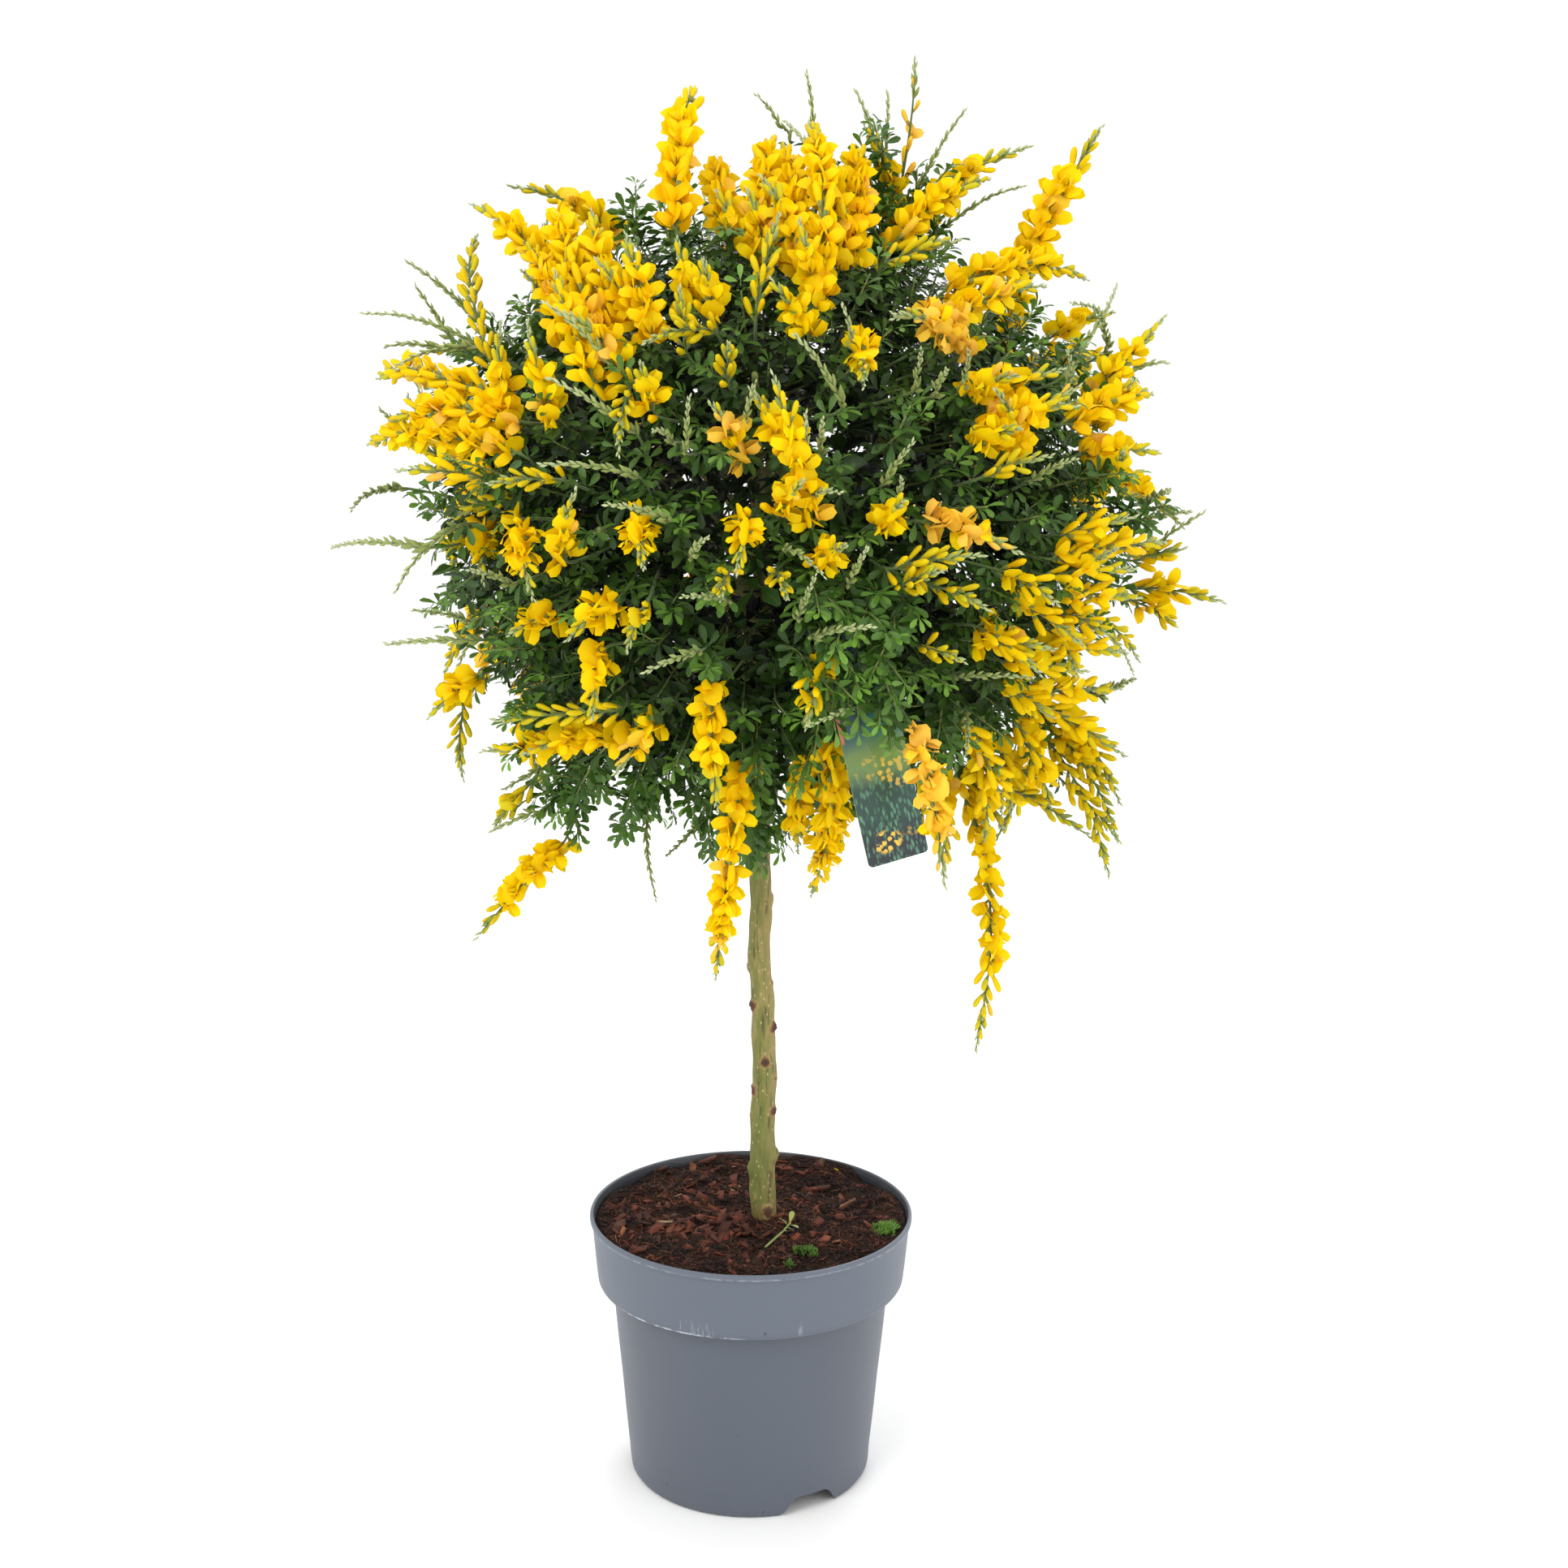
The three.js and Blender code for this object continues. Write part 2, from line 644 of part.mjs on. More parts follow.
// A pointed leaf that stands on one edge of a face and leans over the corner across from it,
// so that it stays above its own face
function raiseLeaf(shell, bough, face, random) {
  const turn = Math.floor(random() * 3);
  const [a, b, c] = [0, 1, 2].map((k) => face[(k + turn) % 3]);
  const corners = [a, b, c].map((v) => new THREE.Vector3().fromArray(shell.corners, v * 3));
  const mix = (shareA, shareB, shareC) =>
    corners[0].clone().multiplyScalar(shareA)
      .addScaledVector(corners[1], shareB)
      .addScaledVector(corners[2], shareC);
  const outer = mix(0.1, 0.1, 0.8);
  const lift = coreLeafLift * (0.8 + 0.4 * random());
  const tip = outer.clone().addScaledVector(outer.clone().sub(bough.core).normalize(), lift);
  if (outer.clone().sub(bough.core).normalize().dot(bough.outward) < 0.1) return false;
  const owner = bough.owner + "leaf.";
  const balls = [
    { point: tip, radius: 1.5 },
    { point: mix(0.25, 0.25, 0.5).lerp(tip, 0.5), radius: 5 },
  ];
  if (!balls.every((ball) => isClear(owner, ball.point, ball.radius))) return false;
  balls.forEach((ball) => keep(owner, ball.point, ball.radius));
  const back = addCorner(shell, mix(0.42, 0.42, 0.16));
  const end = addCorner(shell, tip);
  shell.faces.push([a, b, end], [b, back, end], [back, a, end], [b, c, back], [c, a, back]);
  return true;
}

// Curve that follows the crown from one direction to another while its reach grows
function crownCurve(start, fromDir, fromReach, tipDir, tipReach, arch) {
  const points = [start];
  for (let i = 1; i <= crownSteps; i++) {
    const share = i / crownSteps;
    const reach = fromReach + (tipReach - fromReach) * share + arch * Math.sin(Math.PI * share);
    points.push(crownPoint(turned(fromDir, tipDir, share), reach));
  }
  return new THREE.CatmullRomCurve3(points);
}

// A shoot is rooted well down in the core and follows the crown to its tip
function shootCurve(bough, toward, dir, reach) {
  const edge = crownPoint(toward, coreOuterReach - 6);
  const root = bough.core.clone().lerp(edge, 0.5);
  return crownCurve(root, toward, coreOuterReach - 6, dir, reach, 0);
}

function nearestBough(dir) {
  return boughs.reduce((best, b) => (b.dir.angleTo(dir) < best.dir.angleTo(dir) ? b : best));
}

// Every raceme tip, those of the front by eye and the rest by an even turn round each bough
function planRacemes() {
  boughs.forEach((bough) => {
    bough.tips = [];
  });
  frontRacemes.forEach(([azimuth, elevation, reach]) => {
    const dir = direction(azimuth, elevation);
    nearestBough(dir).tips.push({ dir, reach });
  });
  const random = makeRandom(23);
  boughs.forEach((bough, i) => {
    const helper = new THREE.Vector3(0, 0, 1).cross(bough.dir).normalize();
    const other = bough.dir.clone().cross(helper).normalize();
    const wanted = i % 2 === 1 ? 2 : 3;
    for (let n = 0; bough.tips.length < wanted && n < 3; n++) {
      const turn = i * 1.7 + n * turnStep;
      const spread = 0.22 + 0.2 * random();
      const dir = bough.dir
        .clone()
        .addScaledVector(helper, Math.cos(turn) * spread)
        .addScaledVector(other, Math.sin(turn) * spread)
        .addScaledVector(new THREE.Vector3(0, 0, 1), bough.dir.z < -0.3 ? -0.25 : 0.04)
        .normalize();
      const hanging = Math.max(0, -dir.z - 0.4) * 90;
      bough.tips.push({ dir, reach: 268 + 26 * random() + hanging });
    }
  });
}

// Where each whorl of flowers starts, from the first one out to the buds of the tip
function whorlsOn(length, tipLength, first) {
  const starts = [];
  const end = length - tipLength - flowerSpacing * 0.4;
  for (let at = first; at < end; at += flowerSpacing) starts.push(at);
  return starts;
}

// A cluster of racemes forking from one plug at the end of its bough
function makeRacemes(bough, index) {
  const owner = "raceme" + index + ".";
  const random = makeRandom(100 + index);
  const start = bough.plug.clone().addScaledVector(bough.outward, -forkPlug);
  const end = bough.plug.clone().addScaledVector(bough.outward, forkPlug);
  const solids = [limb([start, end], [forkRadius, forkRadius], 4)];
  keep(owner, bough.plug, forkPlug + 1);
  const racemes = [];
  bough.tips.forEach((tip, n) => {
    const curve = racemeCurve(owner, bough, tip, random);
    if (!curve) return;
    const raceme = `${owner}${n}.`;
    keepStalk(raceme, curve, 12, 2);
    racemes.push({ raceme, curve });
  });
  racemes.forEach(({ raceme, curve }) => {
    const length = curve.getLength();
    const tipLength = Math.min(budTipLength, length * 0.3);
    const whorls = whorlsOn(length, tipLength, Math.min(firstFlowerAt, length * 0.3));
    const count = whorls.length;
    const makeOrgan = (w, k) => {
      if (count > 4 && (w + k) % 3 === 0) return null;
      return flower((flowerLean + flowerLeanSpread * random()) * degree, 1.06 - 0.3 * (w / count));
    };
    solids.push(
      sprig(raceme, curve, {
        whorls,
        whorlHeight: flowerWhorlHeight,
        tipLength,
        tipRadius: budTipRadius,
        radius: stalkRadius,
        turn: random() * 6,
        twist: 60 * degree,
        makeOrgan,
      }),
    );
  });
  return largestBody(joinAll(solids));
}

// Tries a few near directions until the stalk keeps clear of every other node
function racemeCurve(owner, bough, tip, random) {
  for (let attempt = 0; attempt < 8; attempt++) {
    const dir = tip.dir.clone();
    if (attempt) {
      dir.x += (random() - 0.5) * 0.08 * attempt;
      dir.y += (random() - 0.5) * 0.08 * attempt;
      dir.z += (random() - 0.5) * 0.08 * attempt;
      dir.normalize();
    }
    const curve = crownCurve(bough.plug, bough.dir, forkReach + 6, dir, tip.reach, racemeArch);
    if (stalkIsClear(owner, curve, 14, 3.2)) return curve;
  }
  return null;
}

// A bough: its own stem, the leafy core, the shoots with whorls of leaves and the bud shoots
function makeBough(bough, index) {
  const owner = bough.owner;
  const random = makeRandom(300 + index);
  const from = bough.limbEnd.clone().addScaledVector(bough.limbDir, fitGap);
  const to = bough.plug.clone().addScaledVector(bough.outward, -forkPlug - fitGap);
  const solids = [
    limb([from, bough.core], [boughRadius, boughRadius * 0.9], 3),
    limb([bough.core, to], [boughRadius * 0.9, boughEndRadius], 3),
  ];
  const helper = new THREE.Vector3(0, 0, 1).cross(bough.dir).normalize();
  const other = bough.dir.clone().cross(helper).normalize();
  let grown = 0;
  for (let n = 0; n < 18 && grown < shootsEach[index % 2]; n++) {
    const turn = n * turnStep + index;
    const spread = 0.14 + (0.3 * ((n * 7) % 5)) / 4;
    const dir = bough.dir
      .clone()
      .addScaledVector(helper, Math.cos(turn) * spread)
      .addScaledVector(other, Math.sin(turn) * spread)
      .normalize();
    const toward = dir.clone().lerp(bough.dir, 0.5).normalize();
    const reach = 232 + 32 * random();
    const curve = shootCurve(bough, toward, dir, reach);
    if (!stalkIsClear(owner, curve, 24, 2.6)) continue;
    const shootOwner = `${owner}${n}.`;
    keepStalk(shootOwner, curve, 24, 1.8);
    const shoot = sprig(shootOwner, curve, {
      whorls: [curve.getLength() - leafBeforeTip],
      whorlHeight: leafWhorlHeight,
      tipLength: 0,
      tipRadius: 0,
      radius: shootRadius,
      turn: random() * 6,
      twist: 60 * degree,
      makeOrgan: () => leaf((24 + 20 * random()) * degree, leafScale * (0.9 + 0.2 * random())),
    });
    solids.push(shoot);
    grown += 1;
  }
  bough.buds.forEach((tip) => {
    const toward = tip.dir.clone().lerp(bough.dir, 0.6).normalize();
    const curve = shootCurve(bough, toward, tip.dir, tip.reach);
    if (!stalkIsClear(owner, curve, 10, budShootRadius)) return;
    keepStalk(owner, curve, 10, budShootRadius);
    solids.push(
      sprig(owner, curve, {
        whorls: [],
        whorlHeight: 0,
        tipLength: budShootTip,
        tipRadius: budShootRadius,
        radius: shootRadius,
        turn: random() * 6,
        twist: 0,
        makeOrgan: () => null,
      }),
    );
  });
  solids.push(coreOf(bough, random));
  return largestBody(joinAll(solids));
}

function planBuds() {
  boughs.forEach((bough) => {
    bough.buds = [];
  });
  budShoots.forEach(([azimuth, elevation, reach]) => {
    const dir = direction(azimuth, elevation);
    nearestBough(dir).buds.push({ dir, reach });
  });
}

// Hang label: a flat card whose strap ends in an eye, hung on a bare twig
function labelGeometry() {
  const half = cardWidth / 2;
  const top = -eyeRadius - strapLength;
  const shape = new THREE.Shape();
  shape.moveTo(-half + cardCorner, top - cardLength);
  shape.lineTo(half - cardCorner, top - cardLength);
  shape.lineTo(half, top - cardLength + cardCorner);
  shape.lineTo(half, top - cardCorner);
  shape.lineTo(half - cardCorner, top);
  shape.lineTo(strapWidth / 2, top);
  shape.lineTo(strapWidth / 2, -eyeRadius * 0.9);
  const edgeAngle = Math.atan2(-eyeRadius * 0.9, strapWidth / 2);
  shape.absarc(0, 0, eyeRadius, edgeAngle, -Math.PI - edgeAngle, false);
  shape.lineTo(-strapWidth / 2, top);
  shape.lineTo(-half + cardCorner, top);
  shape.lineTo(-half, top - cardCorner);
  shape.lineTo(-half, top - cardLength + cardCorner);
  const eye = new THREE.Path();
  eye.absarc(0, 0, eyeHoleRadius, 0, 2 * Math.PI, true);
  shape.holes.push(eye);
  const options = { depth: cardThickness, bevelEnabled: false, curveSegments: 6 };
  return new THREE.ExtrudeGeometry(shape, options).translate(0, 0, -cardThickness / 2);
}

function labelMatrix() {
  const drop = eyeHoleRadius - twigRadius - fitGap;
  const place = new THREE.Matrix4().makeTranslation(eyeCentre.x, eyeCentre.y, eyeCentre.z - drop);
  const turn = new THREE.Matrix4().makeRotationZ(labelTurn * degree);
  const stand = new THREE.Matrix4().makeRotationX(Math.PI / 2);
  const tilt = new THREE.Matrix4().makeRotationZ(labelTilt * degree);
  return place.multiply(turn).multiply(stand).multiply(tilt);
}

function keepLabelClear(matrix) {
  for (let down = 0; down <= cardLength + strapLength + eyeRadius; down += 8) {
    for (let across = -16; across <= 16; across += 8) {
      const point = new THREE.Vector3(across, -down, 0).applyMatrix4(matrix);
      keep("label", point, 6);
    }
  }
}

// Bare twig that the label's eye hangs on, grown from the nearest bough
function labelTwig(bough) {
  const normal = new THREE.Vector3(Math.sin(labelTurn * degree), -Math.cos(labelTurn * degree), 0);
  const tip = eyeCentre.clone().addScaledVector(normal, 14);
  const inner = eyeCentre.clone().addScaledVector(normal, -12);
  const points = [bough.core, bough.core.clone().lerp(inner, 0.6), inner, tip];
  const solid = limb(points, [boughEndRadius, 2.4, twigRadius, twigRadius * 0.8], 6);
  return { curve: new THREE.CatmullRomCurve3(points), solid };
}

function meshOf(name, geometry, look) {
  const mesh = new THREE.Mesh(geometry, new THREE.MeshStandardMaterial(look));
  mesh.name = name;
  return mesh;
}

const group = new THREE.Group();
const potLook = { color: 0x6f7f90, roughness: 0.5, metalness: 0 };
const soilLook = { color: 0x3a241a, roughness: 0.95, metalness: 0 };
const barkLook = { color: 0x7d7f4f, roughness: 0.8, metalness: 0 };
const leafLook = { color: 0x2f5a2c, roughness: 0.6, metalness: 0 };
const petalLook = { color: 0xf7c80a, roughness: 0.55, metalness: 0 };
const cardLook = { color: 0x2b6a6c, roughness: 0.35, metalness: 0 };

group.add(meshOf("pot", makePot(), potLook));
group.add(meshOf("soil", makeSoil(), soilLook));
group.add(meshOf("stem", makeStem(), barkLook));

const matrix = labelMatrix();
const label = meshOf("label", labelGeometry(), cardLook);
label.applyMatrix4(matrix);
group.add(label);
keepLabelClear(matrix);

planRacemes();
planBuds();
boughs.forEach((bough) => {
  keepStalk(bough.owner, new THREE.LineCurve3(bough.limbEnd, bough.plug), 4, boughRadius);
});
const hanger = boughs.reduce((best, b) =>
  b.core.distanceTo(eyeCentre) < best.core.distanceTo(eyeCentre) ? b : best,
);
const twig = labelTwig(hanger);
keepStalk(hanger.owner, twig.curve, 0, 3);

const clusters = boughs.map((bough, i) => makeRacemes(bough, i));
const leafy = boughs.map((bough, i) => makeBough(bough, i));
boughs.forEach((bough, i) => {
  const number = String(i + 1).padStart(2, "0");
  const green = bough === hanger ? leafy[i].add(twig.solid) : leafy[i];
  group.add(meshOf("bough_" + number, geometryOf(green), leafLook));
  group.add(meshOf("racemes_" + number, geometryOf(clusters[i]), petalLook));
});

export default group;
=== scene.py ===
# Potted standard broom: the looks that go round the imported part. Sizes are in millimetres
# here and become metres when a mesh is made.
import math

import bmesh
import bpy
import numpy as np
from mathutils import Matrix, Vector


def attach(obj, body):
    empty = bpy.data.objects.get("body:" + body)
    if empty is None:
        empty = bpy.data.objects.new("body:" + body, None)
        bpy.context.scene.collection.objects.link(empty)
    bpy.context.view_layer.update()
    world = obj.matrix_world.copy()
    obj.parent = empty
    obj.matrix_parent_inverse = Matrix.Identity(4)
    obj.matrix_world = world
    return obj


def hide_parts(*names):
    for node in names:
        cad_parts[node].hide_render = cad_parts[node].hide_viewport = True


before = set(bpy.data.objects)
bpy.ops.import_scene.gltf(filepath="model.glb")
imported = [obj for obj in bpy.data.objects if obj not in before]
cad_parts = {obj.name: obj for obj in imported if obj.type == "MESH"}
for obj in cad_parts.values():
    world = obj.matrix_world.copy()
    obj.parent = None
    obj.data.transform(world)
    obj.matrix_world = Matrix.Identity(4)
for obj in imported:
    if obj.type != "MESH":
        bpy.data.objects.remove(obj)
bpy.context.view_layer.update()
mm = 0.001
fullTurn = 2 * math.pi
goldenTurn = math.radians(137.5)
upright = np.array([0.0, 0.0, 1.0])
rootBody = "root"
seeds = {"boughs": 5, "racemes": 7, "foliage": 19, "innerLeaves": 29, "litter": 61, "greens": 67}

crown = {
    "centre": np.array([8.0, 0.0, 715.0]),
    "stretch": np.array([1, 1, 0.84]),    # the ball is wider than it is tall
    "coreReach": 160,
    "forkReach": 222,
    "rings": [(69, -36, 3), (36, -62, 6), (1, -72, 8), (-37, -64, 7)],  # elevation, first azimuth, count
}

# Racemes on the photographed side: azimuth from the front and elevation of the base, the same of the
# tip, and the reaches of both from the middle of the head where they are not the usual ones
bloomRows = [
    # upper left, a dense mass
    (-41, 21, -64, 17), (-40, 15, -73, 13), (-47, 47, -77, 51, 238, 321), (-80, 66, -76, 56, 242, 318),
    (-27, 31, -77, 61, 238, 284), (-33, 34, -61, 51), (-27, 25, -40, 44), (-44, 20, -44, 34),
    (-35, 21, -38, 34), (-20, 36, -30, 52), (-24, 40, -32, 46), (-17, 23, -17, 28), (-23, 31, -32, 36),
    (-39, 34, -43, 52), (-28, 38, -51, 59),
    # top
    (-11, 60, -55, 81, 250, 288), (-3, 56, 3, 84, 238, 304), (12, 47, 36, 82, 238, 318),
    (-6, 60, -16, 65), (9, 53, 0, 76), (10, 50, -3, 67, 238, 292), (19, 55, 28, 77, 240, 300),
    (8, 55, 12, 82, 244, 300), (1, 56, -6, 64, 240, 286), (26, 60, 61, 78, 256, 301),
    (78, 68, 58, 77, 238, 322), (-15, 44, -18, 51, 238, 280), (-10, 42, -11, 46),
    (10, 45, 7, 55, 240, 284), (8, 38, 1, 43, 238, 276), (26, 56, 20, 66), (40, 61, 76, 61, 240, 312),
    (80, 68, 75, 65, 241, 305),
    # upper right, with the tall one
    (79, 68, 74, 59, 248, 346), (38, 18, 48, 24, 238, 284), (44, 49, 81, 42, 238, 292),
    (38, 42, 58, 42), (83, 38, 81, 36, 238, 290), (71, 24, 80, 32, 238, 317), (36, 25, 47, 27),
    (35, 27, 37, 26), (36, 22, 47, 21), (58, 21, 81, 22, 238, 284), (60, 15, 69, 13), (34, 18, 35, 18),
    (69, 19, 70, 25), (65, 9, 55, 14), (42, 16, 32, 24),
    # lower middle, hanging beside the stem
    (9, -20, 6, -26), (13, -36, 20, -72, 238, 311), (7, -43, 10, -62), (-8, -23, -8, -45),
    (-4, -43, -14, -70, 238, 378), (13, -42, 24, -63),
    # lower left
    (-26, -37, -55, -37), (-25, -18, -24, -26), (-64, -29, -73, -33, 238, 285),
    (-59, -58, -55, -54, 295, 395), (-33, -36, -41, -35),
    # left
    (-30, -3, -23, 9), (-38, 4, -29, -7), (-55, 3, -50, -9, 214, 236), (-33, -12, -34, -13),
    (-22, -9, -25, -13), (-18, 5, -14, -2),
    # front
    (7, 4, 1, 26, 238, 288), (4, 16, -2, 24, 240, 284), (8, -2, 10, 2), (-2, 6, -3, -2), (2, 6, 5, 11),
    (17, 4, 17, 8), (17, 36, 13, 24),
]
tallRows = [(-23, 57, -47, 79, 262, 345), (81, 51, 73, 54, 269, 383)]
mixedRows = [
    # left
    (-46, 24, -80, 23, 238, 289), (-44, 10, -56, 10),
    # right
    (50, 1, 56, 4), (48, -3, 68, -1), (48, -6, 56, -4), (80, -11, 77, -10, 250, 321),
    (80, -6, 79, -3, 252, 289), (51, -10, 61, -9), (37, -4, 40, -8), (41, -10, 47, -15),
    (34, -14, 40, -19), (35, -17, 41, -15), (43, -22, 51, -20), (48, -19, 61, -18), (51, -30, 70, -26),
    (45, -27, 48, -28), (53, -13, 53, -14), (79, -13, 77, -15, 264, 295), (52, -16, 48, -20),
    # lower right, drooping
    (63, -34, 72, -35, 238, 316), (62, -38, 67, -47, 238, 312), (64, -43, 65, -51, 238, 295),
    (75, -35, 69, -40, 252, 337), (48, -40, 60, -56, 238, 309), (39, -34, 65, -52, 238, 292),
    (53, -53, 54, -61, 240, 315), (67, -53, 64, -53, 245, 302), (73, -38, 70, -40, 269, 325),
    (66, -54, 42, -62, 247, 452), (70, -49, 69, -45, 245, 287),
]
peachRows = [
    (23, 5, 33, 0), (38, 35, 19, 36), (-18, -32, -24, -37), (-3, 16, -7, 22),
    (37, 39, 20, 36, 246, 276),
    # hangs in front of the card's right edge
    (22, -28, 24, -41, 276, 364),
]
spentRows = [(79, 70, 59, 73, 244, 376)]

# Racemes with closed, yellow-green flowers
youngRows = [
    (-56, 30, -79, 49, 238, 301), (-22, 28, -18, 14), (-31, 11, -37, 9), (-2, 42, 3, 58),
    (-14, 35, -14, 41), (-6, 29, -5, 31), (-9, 39, -17, 31), (32, 56, 45, 52), (34, 12, 40, 14),
    (24, -17, 27, -16), (18, -3, 28, 0), (20, -6, 22, -2), (25, -6, 29, -8),
    (74, -38, 66, -43, 256, 357), (73, -40, 63, -46, 257, 374), (68, -49, 66, -45, 271, 344),
    (70, -43, 66, -43, 296, 359), (-25, -31, -45, -29), (-75, -33, -69, -43, 249, 300),
    (-66, -50, -64, -50, 269, 318), (-47, 8, -59, 2, 216, 236), (-62, -2, -70, -5, 214, 232),
    (-17, -9, -17, -14), (-5, -3, -5, -6), (2, -3, 3, -6),
]

# Slender shoots that end in a braid of green buds
budRows = [
    (-82, 39, -79, 40, 249, 319), (-82, 34, -79, 38, 257, 304), (-70, 35, -79, 31, 244, 319),
    (-82, 32, -80, 28, 256, 295), (-66, 34, -64, 25), (-81, 6, -67, 3, 247, 292), (-52, 2, -53, -8),
    (-51, -19, -61, -17), (-51, -15, -49, -10), (-49, 43, -44, 42), (-24, 30, -34, 36),
    (-19, 19, -28, 24), (-18, 12, -27, 12), (-13, 5, -18, 7), (-11, 16, -9, 22), (-13, 18, -13, 17),
    (-3, 19, -1, 24), (6, 12, 5, 20), (8, 16, 7, 19), (12, 24, 4, 31), (15, 32, 11, 36), (6, 9, 9, 9),
    (3, 1, 7, -2), (12, -5, 12, 2), (5, -11, 6, -2), (7, -14, 13, -9), (-5, -8, -9, -5),
    (17, 11, 18, 16), (19, 8, 16, 11), (27, 26, 24, 26), (24, 27, 21, 29), (33, 27, 28, 29),
    (17, 55, 15, 83, 244, 318), (26, 84, -12, 83, 298, 337), (49, 82, 25, 81, 293, 356),
    (74, 73, 53, 78, 265, 344), (75, 73, 59, 75, 259, 349), (77, 69, 69, 67, 265, 352),
    (81, 64, 77, 57, 249, 319), (62, 29, 80, 39, 244, 304), (82, 31, 55, 37, 264, 292),
    (82, 27, 81, 26, 273, 301), (57, 24, 46, 29), (81, 1, 77, 3, 254, 292), (80, -3, 79, 3, 265, 302),
    (81, 4, 62, 7, 254, 292), (76, -30, 64, -22, 266, 292), (32, -23, 36, -18), (17, -27, 6, -24),
    (37, -31, 30, -31), (-51, -66, -37, -68, 255, 322), (-33, -72, -25, -59, 252, 292),
    (-63, -54, -64, -50, 279, 318), (-62, -50, -55, -44), (-9, -17, -14, -16), (43, 11, 41, 13),
    (55, -5, 48, 0), (-10, -1, -6, 3), (-39, -7, -37, -3), (-62, -3, -80, -4, 244, 300),
]

# Leafy shoots that stand or hang out of the head
leafyRows = [
    (-35, -42, -61, -57, 226, 277), (-32, -50, -52, -64, 226, 283), (-56, -50, -63, -54, 226, 273),
    (-3, -47, -8, -74, 226, 284), (0, -50, -4, -74, 226, 271), (-7, -45, -8, -52),
    (44, 62, 64, 77, 226, 296), (80, 67, 73, 70, 244, 301), (77, 72, 61, 76, 256, 325),
    (82, 62, 76, 66, 233, 293), (-51, 63, -76, 68, 226, 273), (-35, 63, -45, 68), (70, 30, 62, 33),
    (56, 10, 61, 10), (13, -19, 14, -26), (10, -24, 11, -29), (20, -22, 19, -24), (36, -32, 29, -36),
    (75, 65, 77, 66, 226, 275), (-14, 63, -9, 58), (-48, -39, -40, -27), (-38, -21, -40, -17),
    (-64, -56, -63, -53, 250, 296), (11, -39, 6, -42), (-51, 40, -47, 38), (82, 1, 69, 1, 237, 270),
    (-40, 10, -42, 9), (19, -34, 19, -40),
]

# Leaves that hang in front of the label's strap
coverRows = [
    (7, -5, 11, -10, 232, 262), (17, -7, 12, -13, 232, 264), (8, -13, 13, -19, 232, 266),
    (21, -11, 15, -19, 232, 266), (12, -8, 10, -15, 232, 262), (15, -13, 18, -22, 232, 268),
    (5, -18, 10, -22, 232, 266),
]

# Tips of racemes on the sides and back: azimuth, elevation, reach
backTips = [
    (176, 62, 270), (-126, 56, 276), (169, 81, 274), (104, 26, 293), (144, 37, 268), (95, 50, 273),
    (-170, 29, 294), (172, 58, 280), (-104, 56, 269), (-142, 34, 285), (-99, 28, 274), (94, -1, 288),
    (120, -8, 287), (157, -13, 281), (164, 22, 288), (132, -4, 292), (-144, 9, 289), (179, 9, 274),
    (-125, 19, 281), (-122, -16, 293), (-99, 17, 285), (97, -59, 320), (126, -64, 317),
    (163, -41, 314), (-141, -48, 299), (-177, -31, 292), (-174, -61, 320), (-113, -35, 285),
    (-130, -54, 310),
]


def report(words):
    print("broom: " + words)


def makeRandom(seed):
    state = seed

    def draw():
        nonlocal state
        state = (state + 0x6D2B79F5) & 0xFFFFFFFF
        t = ((state ^ (state >> 15)) * (1 | state)) & 0xFFFFFFFF
        t = ((t + ((t ^ (t >> 7)) * (61 | t) & 0xFFFFFFFF)) ^ t) & 0xFFFFFFFF
        return (t ^ (t >> 14)) / 4294967296

    return draw


# Vectors, directions and paths

def unit(v):
    return v / np.maximum(np.linalg.norm(v, axis=-1, keepdims=True), 1e-9)


def columns(*parts):
    # numbers and rows of numbers, side by side
    return np.stack(np.broadcast_arrays(*parts), -1)


def arc(radius, count, first=0.0, last=fullTurn, closed=False):
    angles = np.linspace(first, last, count, endpoint=closed)
    return [(radius * math.cos(a), radius * math.sin(a)) for a in angles]


def turns(sides):
    return np.arange(sides) / sides * fullTurn


def direction(azimuth, elevation):
    a, e = math.radians(azimuth), math.radians(elevation)
    return np.array([math.sin(a) * math.cos(e), -math.cos(a) * math.cos(e), math.sin(e)])


def crownPoint(way, reach):
    return crown["centre"] + way * crown["stretch"] * reach


def crownReach(points):
    return np.linalg.norm((points - crown["centre"]) / crown["stretch"], axis=-1)


def turned(fromWay, toWay, share):
    angle = math.acos(min(max(float(fromWay @ toWay), -1), 1))
    if angle < 1e-4:
        return fromWay
    a, b = math.sin((1 - share) * angle), math.sin(share * angle)
    return unit((fromWay * a + toWay * b) / math.sin(angle))


def pathRun(path):
    # distance from the start to each point
    return np.concatenate([[0], np.cumsum(np.linalg.norm(np.diff(path, axis=0), axis=1))])


def resample(distances, run, values):
    return np.stack([np.interp(distances, run, values[:, k]) for k in range(3)], 1)


def smoothPath(knots, spacing=2.0):
    knots = np.asarray(knots, float)
    padded = np.vstack([2 * knots[0] - knots[1], knots, 2 * knots[-1] - knots[-2]])
    t = np.linspace(0, 1, 12, endpoint=False)[:, None]
    fine = []
    for a, b, c, d in zip(padded, padded[1:], padded[2:], padded[3:]):
        cubic = 3 * b - a - 3 * c + d
        fine.append(0.5 * (2 * b + (c - a) * t + (2 * a - 5 * b + 4 * c - d) * t**2 + cubic * t**3))
    fine = np.vstack(fine + [knots[-1:]])
    run = pathRun(fine)
    return resample(np.linspace(0, run[-1], max(int(run[-1] / spacing), 3) + 1), run, fine)


def pathLength(path):
    return float(np.linalg.norm(np.diff(path, axis=0), axis=1).sum())


